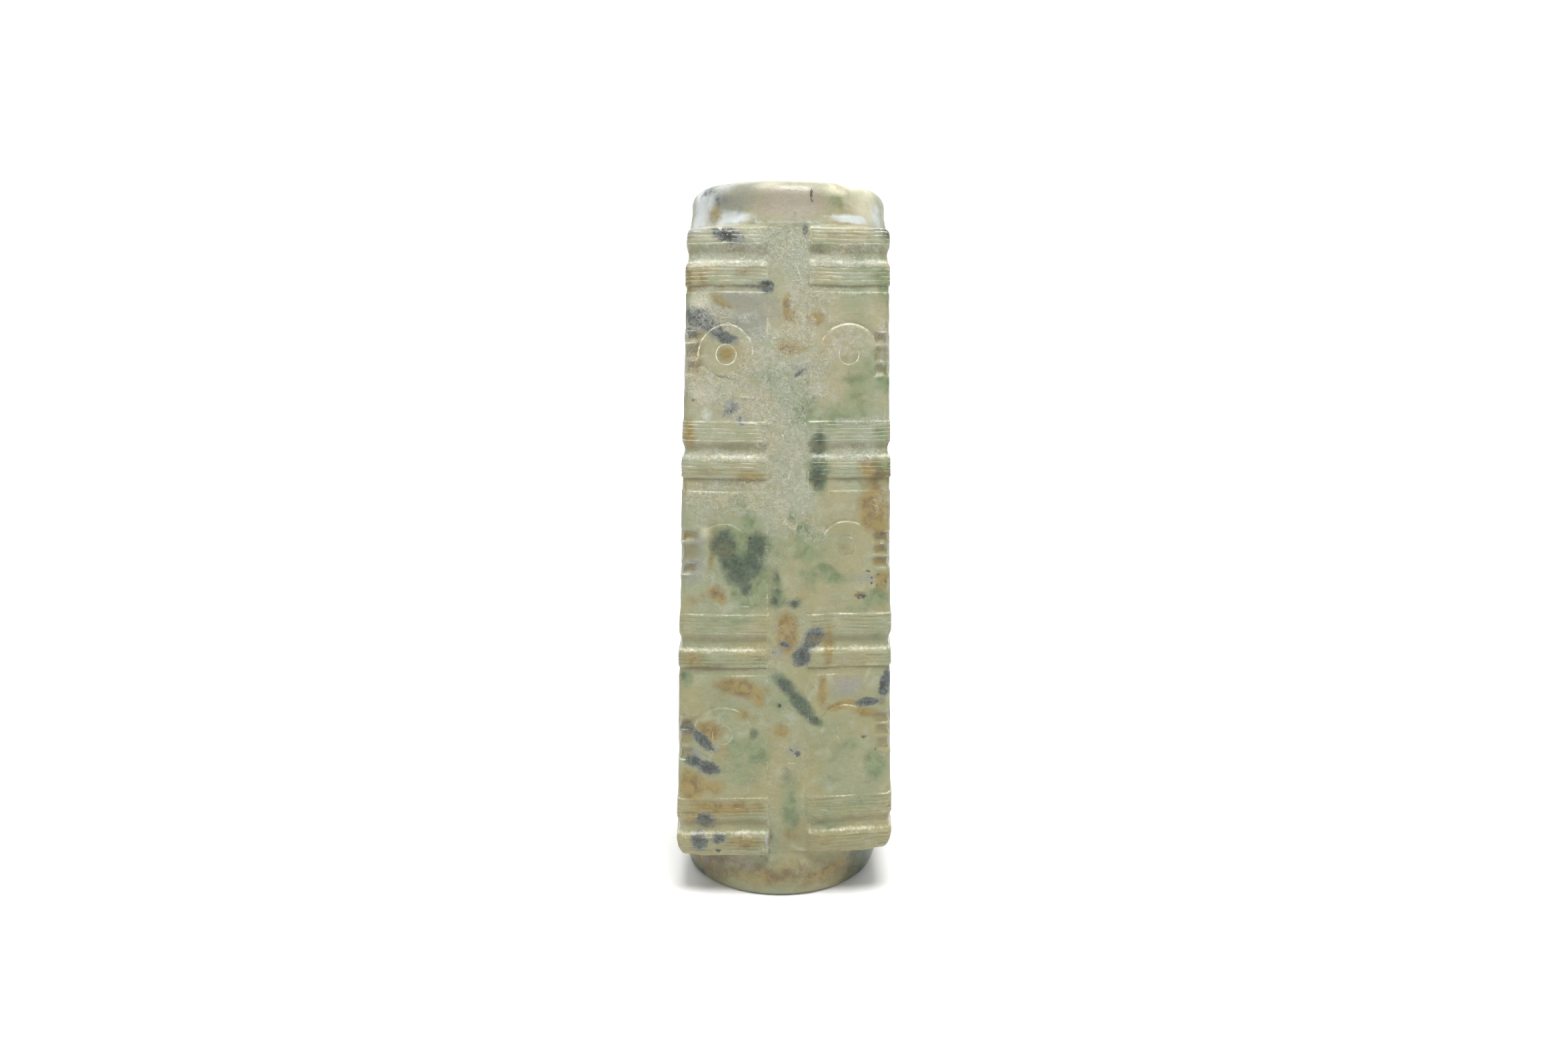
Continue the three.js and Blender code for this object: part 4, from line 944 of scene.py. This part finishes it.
def build_mesh():
    sheets = []
    for front in (True, False):
        sheet = sheet_points(front)
        tris = delaunay_2d_cdt([Vector((q * 1.0, w)) for q, w in sheet], [], [], 0, 1e-5)
        pts = np.array([(v.x, v.y) for v in tris[0]])
        origin = [o[0] for o in tris[3]]
        sheet = sheet[origin] if len(origin) == len(pts) else pts
        faces = np.array([f for f in tris[2] if len(f) == 3])
        # all triangles the same way round in (q, w)
        a, b, c = (sheet[faces[:, i]] for i in range(3))
        area = (b[:, 0] - a[:, 0]) * (c[:, 1] - a[:, 1]) - (b[:, 1] - a[:, 1]) * (c[:, 0] - a[:, 0])
        faces = faces[np.abs(area) > 1e-9]
        area = area[np.abs(area) > 1e-9]
        faces[area < 0] = faces[area < 0][:, ::-1]
        q, w = sheet[:, 0], sheet[:, 1]
        right = np.nonzero(np.abs(q - Q_END) < 1e-6)[0]
        left = np.nonzero(np.abs(q + Q_END) < 1e-6)[0]
        right = right[np.argsort(w[right])]
        left = left[np.argsort(w[left])]
        sheets.append((q, w, faces, left, right))
    assert all(len(sh[3]) == len(sheets[0][3]) and len(sh[4]) == len(sheets[0][3]) for sh in sheets)

    verts, chalk_and_highlight, grime_and_shade, all_faces = [], [], [], []
    where = []
    total = 0
    for k in range(4):
        q, w, faces, left, right = sheets[0 if k == 0 else 1]
        p, chalk_light_part, grime_shade_part = face_surface(k, q, w)
        index = np.full(len(q), -1, dtype=np.int64)
        if k > 0:
            index[left] = where[k - 1][sheets[0 if k == 1 else 1][4]]
        if k == 3:
            index[right] = where[0][sheets[0][3]]
        new = np.nonzero(index < 0)[0]
        index[new] = total + np.arange(len(new))
        total += len(new)
        verts.append(p[new])
        chalk_and_highlight.append(chalk_light_part[new])
        grime_and_shade.append(grime_shade_part[new])
        where.append(index)
        all_faces.append(index[faces])
    verts = list(verts)

    def loop(row_w):
        ids = []
        for k in range(4):
            q, w = sheets[0 if k == 0 else 1][:2]
            order = np.nonzero(np.abs(w - row_w) < 1e-6)[0]
            order = order[np.argsort(q[order])]
            ids += list(where[k][order][:-1])
        return np.array(ids)

    V = np.concatenate(verts)
    chalk_and_highlight, grime_and_shade = np.concatenate(chalk_and_highlight), np.concatenate(grime_and_shade)
    inner = np.zeros(len(V))

    def angles(points, z):
        line = axis_x(np.array([0.0]))[0] + (axis_x(np.array([HEIGHT]))[0] - axis_x(np.array([0.0]))[0]) * z / HEIGHT
        return np.arctan2(points[:, 1], points[:, 0] - line)

    # rims and bore, from the upper rim down to the lower one
    profile = []  # radius, height, segments
    for r in (25.4, 24.8, 24.2):
        profile.append((r, HEIGHT, 168))
    for i in range(13):
        a = i / 12 * math.pi / 2
        profile.append((BORE_NECK_R + (MOUTH_TOP - BORE_NECK_R) * (1 - math.sin(a)),
                        HEIGHT - MOUTH_DEPTH * (1 - math.cos(a)), 96))
    zs = list(np.arange(HEIGHT - MOUTH_DEPTH - 1.3, HEIGHT - 40, -1.3)) + list(np.arange(HEIGHT - 42, 42, -6.5))
    zs += list(np.arange(40, MOUTH_DEPTH + 0.8, -1.6))
    for z in zs:
        r = np.interp(z, [MOUTH_DEPTH, 40, HEIGHT / 2 - 3, HEIGHT / 2, HEIGHT / 2 + 3, HEIGHT - 40, HEIGHT - MOUTH_DEPTH],
                      [BORE_NECK_R, 14.22, BORE_MID_R, BORE_MID_R - 0.5, BORE_MID_R, 14.22, BORE_NECK_R])
        profile.append((float(r), float(z), 96))
    for i in range(12, -1, -1):
        a = i / 12 * math.pi / 2
        profile.append((BORE_NECK_R + (MOUTH_LOW - BORE_NECK_R) * (1 - math.sin(a)),
                        MOUTH_DEPTH * (1 - math.cos(a)), 96))
    for r in (25.0, 26.9, 28.8):
        profile.append((r, 0.0, 168))

    loop_ids = loop(225.7)
    current, current_ang = loop_ids, angles(V[loop_ids], HEIGHT)
    extra_v, extra_f, bore_shade_rows = [], [], []
    base = len(V)
    for (r, z, segs) in profile:
        ang = np.linspace(-math.pi, math.pi, segs, endpoint=False) + 0.01
        zz = np.full(segs, z)
        p = bore_point(np.full(segs, r), ang, zz)
        bumps = 0.12 * waves(p, 13, 91) + 0.05 * waves(p * [0.3, 0.3, 1.0], 2.6, 92)
        depth_in = min(z, HEIGHT - z)
        if depth_in > 0.6:
            bumps = bumps * min(1.0, depth_in / 3)
            # stepped rings that the drilling left
            rings = 0.16 * abs(math.sin(z * 0.62)) ** 3 * min(1.0, max(0.0, (depth_in - 6) / 6))
            p = bore_point(r + bumps + rings, ang, zz)
        ids = base + np.arange(segs)
        base += segs
        extra_v.append(p)
        # how far into the bore the ring lies, for the painted shade there
        bore_shade_rows.append(np.full(segs, min(1.0, max(0.0, (depth_in - 3) / 14))))
        ua = current_ang
        order = np.argsort((ua - ua[0]) % (2 * math.pi))
        cur = current[order]
        extra_f += zipper(cur, ua[order], ids, ang)
        current, current_ang = ids, ang
    last = loop(-0.8)
    ang_last = angles(V[last], 0)
    order = np.argsort((ang_last - ang_last[0]) % (2 * math.pi))
    extra_f += zipper(current, current_ang, last[order], ang_last[order])

    V = np.concatenate([V] + extra_v)
    bore_shade = np.concatenate([inner] + bore_shade_rows)
    chalk_and_highlight = np.concatenate([chalk_and_highlight, np.zeros(len(V) - len(chalk_and_highlight))])
    grime_and_shade = np.concatenate([grime_and_shade, np.zeros(len(V) - len(grime_and_shade))])
    F = np.concatenate(all_faces + [np.array(extra_f)])
    return V, F, chalk_and_highlight, grime_and_shade, bore_shade


# inner holds how deep each point lies in the bore, used for painted shade there
V, F, chalk_and_highlight, grime_and_shade, inner = build_mesh()
# outward normals: the volume must come out positive
tri = V[F]
volume = np.einsum("ij,ij->i", tri[:, 0], np.cross(tri[:, 1], tri[:, 2])).sum() / 6
if volume < 0:
    F = F[:, ::-1]
print("cong mesh:", len(V), "points,", len(F), "triangles, volume cm3", round(abs(volume) / 1000, 1))

mesh = bpy.data.meshes.new("jade_cong_stone")
mesh.from_pydata([tuple(v) for v in (V * 0.001)], [], [tuple(int(i) for i in f) for f in F])
mesh.validate()
mesh.update()
mesh.shade_smooth()
# normals weighted by area, so that flat places stay flat beside the fine cuts
co = np.empty(len(mesh.vertices) * 3)
mesh.vertices.foreach_get("co", co)
co = co.reshape(-1, 3)
ids = np.empty(len(mesh.loops), dtype=np.int64)
mesh.loops.foreach_get("vertex_index", ids)
ids = ids.reshape(-1, 3)
cross = np.cross(co[ids[:, 1]] - co[ids[:, 0]], co[ids[:, 2]] - co[ids[:, 0]])
normals = np.zeros_like(co)
for i in range(3):
    np.add.at(normals, ids[:, i], cross)
normals /= np.maximum(np.linalg.norm(normals, axis=1, keepdims=True), 1e-20)
mesh.normals_split_custom_set_from_vertices([tuple(v) for v in normals])
stone = bpy.data.objects.new("jade_cong_stone", mesh)
bpy.context.scene.collection.objects.link(stone)
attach(stone, "root")
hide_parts("jade_cong")

# how wrinkled the skin is: most in the upper half, the channel and by the bands
pp = V
high = smooth(60, 175, pp[:, 2])
wrinkle = 0.18 + 0.3 * high + 0.22 * waves(pp, 16, 301)
near_channel = np.minimum(np.abs(pp[:, 0] - axis_x(pp[:, 2]) - 1.0), np.abs(pp[:, 1]))
wrinkle += 0.2 * (1 - smooth(4, 10, near_channel))
is_front = 1 - smooth(-24, -18, pp[:, 1])
lx = pp[:, 0] - axis_x(pp[:, 2])
for (sx, sz, rx, rz, amount) in ROUGH:
    dist = np.hypot((lx - sx) / rx, (pp[:, 2] - sz) / rz)
    wrinkle += amount * 0.75 * (1 - smooth(0.5, 1.3, dist)) * is_front
side_patch = waves(pp, 22, 305)
wrinkle += (1 - is_front) * 0.5 * side_patch * (0.4 + 0.6 * high)
for (a, b, c, d, e) in BAND_PAIRS:
    for hi, lo in ((a, b), (c, d)):
        on_band = smooth(lo - 0.5, lo + 0.5, pp[:, 2]) * (1 - smooth(hi - 1.2, hi - 0.3, pp[:, 2]))
        wrinkle *= 1 - 0.6 * on_band * smooth(5, 8, near_channel)
wrinkle *= smooth(14, 22, pp[:, 2]) * (1 - smooth(208, 214, pp[:, 2])) * 0.85 + 0.15
wrinkle = clamp01(wrinkle)

masks = stain_masks(V)


def paint(name, r, g, b):
    layer = mesh.attributes.new(name, "FLOAT_COLOR", "POINT")
    rgba = np.ones((len(V), 4), dtype=np.float32)
    rgba[:, 0], rgba[:, 1], rgba[:, 2] = r, g, b
    layer.data.foreach_set("color", rgba.ravel())


paint("stain_a", masks["grey"], masks["pink"], masks["cream"])
paint("stain_b", masks["green"], masks["dgreen"], masks["ochre"])
paint("stain_c", masks["brown"], masks["blue"], masks["dark"])
paint("wear_light_shade", chalk_and_highlight, grime_and_shade, wrinkle)
# the red channel is depth into the bore for painted shade; the blue channel holds the pale marks, some of them painted
# highlights
paint("inside", inner, high, masks["pale"])


# ---------------------------------------------------------------- jade
GAIN = 0.575  # the lamps light the stone brighter than 1, so its own colour is set lower


def lin(r, g, b, gain=GAIN):
    out = []
    for v in (r, g, b):
        v = v / 255
        out.append(gain * (v / 12.92 if v <= 0.04045 else ((v + 0.055) / 1.055) ** 2.4))
    return (*out, 1.0)


mat = bpy.data.materials.new("weathered_jade")
mat.use_nodes = True
tree = mat.node_tree
nodes, links = tree.nodes, tree.links
nodes.clear()
output = nodes.new("ShaderNodeOutputMaterial")
shader = nodes.new("ShaderNodeBsdfPrincipled")
links.new(shader.outputs[0], output.inputs[0])


def math_node(op, a, b=None, c=None, clamp=False):
    n = nodes.new("ShaderNodeMath")
    n.operation = op
    n.use_clamp = clamp
    for i, v in enumerate((a, b, c)):
        if v is None:
            continue
        if isinstance(v, (int, float)):
            n.inputs[i].default_value = v
        else:
            links.new(v, n.inputs[i])
    return n.outputs[0]


def add(a, b):
    return math_node("ADD", a, b)


def mul(a, b):
    return math_node("MULTIPLY", a, b)


def sub(a, b):
    return math_node("SUBTRACT", a, b)


def ramp_node(v, lo, hi, out_lo=0.0, out_hi=1.0):
    n = nodes.new("ShaderNodeMapRange")
    n.interpolation_type = "SMOOTHSTEP"
    links.new(v, n.inputs["Value"])
    n.inputs["From Min"].default_value = lo
    n.inputs["From Max"].default_value = hi
    n.inputs["To Min"].default_value = out_lo
    n.inputs["To Max"].default_value = out_hi
    return n.outputs[0]


def blend(fac, a, b):
    n = nodes.new("ShaderNodeMix")
    n.data_type = "RGBA"
    links.new(fac, n.inputs[0]) if not isinstance(fac, float) else setattr(n.inputs[0], "default_value", fac)
    for sock, v in ((n.inputs[6], a), (n.inputs[7], b)):
        if isinstance(v, tuple):
            sock.default_value = v
        else:
            links.new(v, sock)
    return n.outputs[2]


def attribute(name):
    n = nodes.new("ShaderNodeAttribute")
    n.attribute_name = name
    s = nodes.new("ShaderNodeSeparateColor")
    links.new(n.outputs["Color"], s.inputs[0])
    return s.outputs[0], s.outputs[1], s.outputs[2]


coord = nodes.new("ShaderNodeTexCoord").outputs["Object"]


def stretched(x, y, z, shift=0.0):
    n = nodes.new("ShaderNodeMapping")
    n.inputs["Scale"].default_value = (x * 1000, y * 1000, z * 1000)
    n.inputs["Location"].default_value = (shift, shift * 0.7, shift * 1.3)
    links.new(coord, n.inputs["Vector"])
    return n.outputs[0]


mm = stretched(1, 1, 1)


def noise(vec, size, detail=3.0, rough=0.55, warp=0.0):
    """Noise whose blotches are about size millimetres wide."""
    n = nodes.new("ShaderNodeTexNoise")
    links.new(vec, n.inputs["Vector"])
    n.inputs["Scale"].default_value = 1.0 / size
    n.inputs["Detail"].default_value = detail
    n.inputs["Roughness"].default_value = rough
    n.inputs["Distortion"].default_value = warp
    return n.outputs[0]


def lines_of(n, width):
    """Thin wandering lines where a noise passes its middle value."""
    d = math_node("ABSOLUTE", sub(n, 0.5))
    return ramp_node(d, 0.0, width, 1.0, 0.0)


grey, pink, cream = attribute("stain_a")
green, dgreen, ochre = attribute("stain_b")
brown, blue, dark = attribute("stain_c")
chalk_highlight_a, grime_shade_a, wrinkle_a = attribute("wear_light_shade")
bore_depth_shade_a, high_a, pale = attribute("inside")

cloud_big = noise(mm, 24.0, 3.0, 0.5, 0.4)
cloud_mid = noise(stretched(1, 1, 1.2, 40), 8.0, 4.0, 0.55, 0.8)
cloud_small = noise(stretched(1, 1, 1, 90), 3.0, 4.0, 0.6, 0.5)
speck = noise(stretched(1, 1, 1, 17), 0.9, 3.0, 0.6)
grain = noise(stretched(1, 1, 1, 61), 0.35, 2.0, 0.6)

# the stone's own colour
stone_low = blend(ramp_node(cloud_big, 0.4, 0.6), lin(174, 178, 134), lin(184, 176, 122))
stone_high = blend(ramp_node(cloud_big, 0.4, 0.6), lin(182, 190, 158), lin(194, 188, 148))
color = blend(high_a, stone_low, stone_high)
color = blend(mul(ramp_node(cloud_mid, 0.45, 0.7), 0.35), color, lin(156, 166, 120))
color = blend(mul(ramp_node(noise(stretched(1, 1, 1, 130), 11.0, 4.0, 0.6, 1.0), 0.54, 0.78), 0.45), color, lin(182, 166, 98))
color = blend(mul(ramp_node(noise(stretched(1, 1, 1, 140), 6.0, 4.0, 0.6, 0.8), 0.5, 0.75), 0.5), color, lin(212, 214, 188))
color = blend(mul(ramp_node(cloud_small, 0.5, 0.8), 0.25), color, lin(212, 207, 178))


def stain(mask, tex, amount, soft, lo=0.18):
    """Where a mark shows: its mask broken up by a noise."""
    v = add(mask, mul(sub(tex, 0.5), amount))
    return ramp_node(v, lo, lo + soft)


s_grey = mul(stain(grey, cloud_mid, 0.8, 0.55), 0.7)
s_pink = mul(stain(pink, cloud_mid, 0.5, 0.45), 0.8)
s_cream = mul(stain(cream, cloud_mid, 0.5, 0.5), 0.8)
s_green = mul(stain(green, noise(stretched(1, 1, 1, 31), 4.5, 4.0, 0.6, 0.6), 0.75, 0.55, 0.08), 0.85)
s_dgreen = mul(stain(dgreen, noise(stretched(1, 1, 1, 33), 3.2, 5.0, 0.65, 0.5), 0.75, 0.55, 0.1), 0.95)
s_ochre = mul(stain(ochre, noise(stretched(1, 1, 1, 35), 5.0, 4.0, 0.6, 0.5), 0.75, 0.5, 0.05), 0.95)
s_brown = mul(stain(brown, cloud_small, 0.8, 0.5), 0.8)
fleck = noise(stretched(1, 1, 1, 37), 1.5, 5.0, 0.7, 0.4)
blotch = add(mul(fleck, 0.55), mul(noise(stretched(1, 1, 1, 47), 3.6, 4.0, 0.65, 0.9), 0.45))
s_blue = stain(blue, blotch, 1.8, 0.28, 0.26)
s_dark = stain(dark, noise(stretched(1, 1, 1, 39), 0.9, 5.0, 0.7), 1.1, 0.25, 0.26)

# cream and pale marks; those on the upper collar and the pale one on a low flute are painted highlights
color = blend(s_cream, color, lin(234, 227, 198, 0.84))
color = blend(mul(stain(pale, cloud_small, 0.5, 0.4), 0.85), color, lin(224, 231, 232, 0.86))
color = blend(s_pink, color, lin(190, 178, 158))
color = blend(s_grey, color, lin(164, 166, 154))
color = blend(s_ochre, color, blend(ramp_node(cloud_small, 0.4, 0.65), lin(178, 154, 78), lin(142, 116, 46)))
color = blend(s_green, color, blend(ramp_node(cloud_small, 0.4, 0.65), lin(148, 166, 116), lin(108, 132, 78)))
color = blend(s_dgreen, color, blend(ramp_node(fleck, 0.35, 0.65), lin(84, 106, 72), lin(46, 64, 46)))
# brown marks; the two wide ones on the lower collar's sides are partly painted shade
color = blend(s_brown, color, lin(124, 100, 60))
halo = mul(stain(blue, cloud_small, 0.6, 0.4, 0.08), 0.75)
color = blend(halo, color, lin(134, 142, 141))
color = blend(mul(s_blue, 0.8), color, blend(ramp_node(speck, 0.4, 0.6), lin(86, 104, 98), lin(28, 38, 35)))
color = blend(mul(s_dark, 0.9), color, lin(48, 46, 42))

# dirt and painted shade in the hollows, then pale rubbed edges with painted highlights, and the wrinkled skin
dirt_and_shade = mul(ramp_node(add(grime_shade_a, mul(sub(cloud_mid, 0.5), 0.9)), 0.25, 0.85), 0.6)
color = blend(dirt_and_shade, color, lin(150, 136, 84))

web_mask = mul(add(0.3, mul(high_a, 0.7)), ramp_node(add(wrinkle_a, mul(sub(noise(stretched(1, 1, 1, 51), 9.0, 3.0, 0.6), 0.5), 1.2)), 0.28, 0.75))


def ridges_of(n, sharp):
    """Soft-sided ridges along the middle value of a noise."""
    d = math_node("ABSOLUTE", mul(sub(n, 0.5), 2.0))
    return math_node("POWER", math_node("MAXIMUM", sub(1.0, mul(d, 2.2)), 0.0), sharp)


def warped(size, amount, shift):
    """The stone's coordinates pushed about by a noise, in millimetres."""
    n = nodes.new("ShaderNodeTexNoise")
    base = stretched(1, 1, 1.15, shift)
    links.new(base, n.inputs["Vector"])
    n.inputs["Scale"].default_value = 1.0 / size
    n.inputs["Detail"].default_value = 4.0
    n.inputs["Roughness"].default_value = 0.65
    centre = nodes.new("ShaderNodeVectorMath")
    centre.operation = "SUBTRACT"
    links.new(n.outputs["Color"], centre.inputs[0])
    centre.inputs[1].default_value = (0.5, 0.5, 0.5)
    grown = nodes.new("ShaderNodeVectorMath")
    grown.operation = "SCALE"
    links.new(centre.outputs[0], grown.inputs[0])
    grown.inputs["Scale"].default_value = amount
    total = nodes.new("ShaderNodeVectorMath")
    total.operation = "ADD"
    links.new(base, total.inputs[0])
    links.new(grown.outputs[0], total.inputs[1])
    return total.outputs[0]


def crackle(vec, size, width):
    """A crumpled net of thin lines, size millimetres from one to the next."""
    n = nodes.new("ShaderNodeTexVoronoi")
    n.feature = "DISTANCE_TO_EDGE"
    links.new(vec, n.inputs["Vector"])
    n.inputs["Scale"].default_value = 1.0 / size
    return ramp_node(n.outputs["Distance"], 0.0, width, 1.0, 0.0)


net_1 = crackle(warped(1.9, 2.6, 53), 1.7, 0.1)
net_2 = crackle(warped(1.1, 1.6, 57), 0.85, 0.13)
gate_1 = ramp_node(noise(stretched(1, 1, 1, 59), 2.2, 3.0, 0.6), 0.42, 0.62)
gate_2 = ramp_node(noise(stretched(1, 1, 1, 67), 1.7, 3.0, 0.6), 0.42, 0.6)
web_1 = ridges_of(noise(stretched(0.85, 0.85, 1.3, 153), 2.6, 4.0, 0.65, 0.6), 7.0)
web = math_node("MAXIMUM", mul(net_1, gate_1), mul(mul(net_2, gate_2), 0.8))
web = math_node("MAXIMUM", web, mul(mul(web_1, gate_2), 0.7))
web = mul(web, add(0.06, mul(web_mask, 0.94)))
faint = mul(lines_of(noise(stretched(0.7, 0.7, 1.6, 63), 3.4, 3.0, 0.65, 0.8), 0.01), 0.25)
light_lines = math_node("MAXIMUM", web, faint)
# the skin between the wrinkles is frosted in fine flecks
frost = mul(ramp_node(noise(stretched(1, 1, 1, 73), 1.1, 4.0, 0.7, 0.6), 0.42, 0.72), add(0.06, mul(web_mask, 0.94)))
color = blend(mul(frost, 0.3), color, lin(230, 228, 208, 0.84))
murk = mul(ramp_node(noise(stretched(1, 1, 1, 79), 1.6, 4.0, 0.65, 0.6), 0.48, 0.78), 0.16)
color = blend(murk, color, lin(132, 126, 92))
color = blend(mul(light_lines, 0.46), color, lin(246, 245, 232, 0.98))
rub_and_highlight = mul(ramp_node(add(chalk_highlight_a, mul(sub(speck, 0.5), 0.7)), 0.25, 0.85), 0.72)
color = blend(rub_and_highlight, color, lin(250, 247, 230, 0.98))

# fine grain, a few dark pin-holes
value = nodes.new("ShaderNodeHueSaturation")
links.new(color, value.inputs["Color"])
links.new(add(0.9, mul(grain, 0.2)), value.inputs["Value"])
color = value.outputs[0]
pit = nodes.new("ShaderNodeTexVoronoi")
pit.feature = "F1"
links.new(stretched(1, 1, 1, 5), pit.inputs["Vector"])
pit.inputs["Scale"].default_value = 1 / 4.2
pin = mul(ramp_node(pit.outputs["Distance"], 0.05, 0.1, 1.0, 0.0), ramp_node(cloud_small, 0.52, 0.6))
color = blend(mul(pin, 0.45), color, lin(90, 80, 58))
# painted shade: the tube is painted darker the deeper into it
color = blend(mul(bore_depth_shade_a, 0.55), color, blend(ramp_node(cloud_mid, 0.4, 0.6), lin(112, 104, 74), lin(70, 76, 54)))
links.new(color, shader.inputs["Base Color"])

rough = add(0.36, add(mul(cloud_small, 0.16), mul(light_lines, 0.12)))
links.new(rough, shader.inputs["Roughness"])
shader.inputs["Specular IOR Level"].default_value = 0.5
shader.inputs["IOR"].default_value = 1.6
shader.inputs["Coat Weight"].default_value = 0.12
shader.inputs["Coat Roughness"].default_value = 0.3
shader.inputs["Subsurface Weight"].default_value = 0.3
shader.inputs["Subsurface Radius"].default_value = (1.0, 1.0, 0.65)
shader.inputs["Subsurface Scale"].default_value = 0.0022

# small relief, in millimetres
height = add(mul(light_lines, 0.3), mul(frost, 0.1))
height = add(height, mul(grain, 0.02))
height = add(height, mul(speck, 0.03))
height = add(height, mul(cloud_small, 0.16))
height = sub(height, mul(pin, 0.05))
strokes = noise(stretched(0.12, 0.12, 3.0, 71), 1.0, 2.0, 0.5)
height = add(height, mul(mul(strokes, bore_depth_shade_a), 0.12))
bump = nodes.new("ShaderNodeBump")
bump.inputs["Distance"].default_value = 0.001
bump.inputs["Strength"].default_value = 1.0
links.new(height, bump.inputs["Height"])
links.new(bump.outputs[0], shader.inputs["Normal"])
mesh.materials.append(mat)


# ---------------------------------------------------------------- stage, light, camera
def backdrop():
    """A pale floor that curves up into a wall well behind the piece."""
    prof = [(-2.2, 0.0)]
    for i in range(9):
        prof.append((-2.2 + 3.2 * (i + 1) / 9, 0.0))
    for i in range(1, 13):
        a = i / 12 * math.pi / 2
        prof.append((1.0 + 0.9 * math.sin(a), 0.9 * (1 - math.cos(a))))
    prof += [(1.9, 1.6), (1.9, 2.6)]
    xs = np.linspace(-2.6, 2.6, 9)
    v = [(x, y, z) for (y, z) in prof for x in xs]
    f = []
    for j in range(len(prof) - 1):
        for i in range(len(xs) - 1):
            a = j * len(xs) + i
            f.append((a, a + 1, a + len(xs) + 1, a + len(xs)))
    m = bpy.data.meshes.new("studio_floor")
    m.from_pydata(v, [], f)
    m.shade_smooth()
    o = bpy.data.objects.new("studio_floor", m)
    bpy.context.scene.collection.objects.link(o)
    pale = bpy.data.materials.new("pale_paper")
    pale.use_nodes = True
    s = pale.node_tree.nodes["Principled BSDF"]
    s.inputs["Base Color"].default_value = (0.78, 0.78, 0.78, 1)
    s.inputs["Roughness"].default_value = 0.9
    s.inputs["Specular IOR Level"].default_value = 0.1
    # the paper far behind is lit by itself, so that it stays pale to the frame's edge
    tn = pale.node_tree
    where = tn.nodes.new("ShaderNodeTexCoord")
    parts = tn.nodes.new("ShaderNodeSeparateXYZ")
    far = tn.nodes.new("ShaderNodeMapRange")
    far.interpolation_type = "SMOOTHSTEP"
    tn.links.new(where.outputs["Object"], parts.inputs[0])
    tn.links.new(parts.outputs["Y"], far.inputs["Value"])
    far.inputs["From Min"].default_value = 0.15
    far.inputs["From Max"].default_value = 1.3
    far.inputs["To Min"].default_value = 0.06
    far.inputs["To Max"].default_value = 0.62
    s.inputs["Emission Color"].default_value = (1, 1, 1, 1)
    tn.links.new(far.outputs[0], s.inputs["Emission Strength"])
    m.materials.append(pale)


backdrop()


def softbox(name, where, aim, size_x, size_y, power, tint=(1, 1, 1)):
    data = bpy.data.lights.new(name, "AREA")
    data.shape = "RECTANGLE"
    data.size, data.size_y = size_x, size_y
    data.energy = power
    data.color = tint
    o = bpy.data.objects.new(name, data)
    o.location = where
    o.rotation_euler = (Vector(aim) - Vector(where)).to_track_quat("-Z", "Y").to_euler()
    bpy.context.scene.collection.objects.link(o)
    return o


softbox("top_light", (0.06, -0.42, 1.08), (0, 0, 0.1), 0.5, 0.4, 15.5)
softbox("front_fill", (-0.1, -1.5, 0.6), (0, 0, 0.11), 1.4, 1.0, 1.5)
softbox("right_side", (1.1, -0.4, 0.5), (0, 0, 0.11), 0.7, 0.9, 0.8)
softbox("left_side", (-1.1, -0.4, 0.5), (0, 0, 0.11), 0.7, 0.9, 0.8)
softbox("back_light", (0, 1.25, 1.7), (0, 1.2, 0), 2.6, 1.0, 26)

world = bpy.data.worlds.new("studio_world")
world.use_nodes = True
world.node_tree.nodes["Background"].inputs[0].default_value = (1, 1, 1, 1)
world.node_tree.nodes["Background"].inputs[1].default_value = 0.29
bpy.context.scene.world = world

view = bpy.context.scene.view_settings
view.view_transform = "Standard"
view.look = "None"
view.exposure = 0.0
view.gamma = 1.0

cam_data = bpy.data.cameras.new("photo_camera")
cam_data.sensor_fit = "HORIZONTAL"
cam_data.sensor_width = 36.0
cam_data.lens = 24.252
cam_data.clip_start = 0.01
cam_data.clip_end = 20
cam = bpy.data.objects.new("photo_camera", cam_data)
cam.location = (0.0, -0.352747, 0.174436)
cam.rotation_euler = (math.pi / 2 - 0.158, 0, 0)
bpy.context.scene.collection.objects.link(cam)
bpy.context.scene.camera = cam
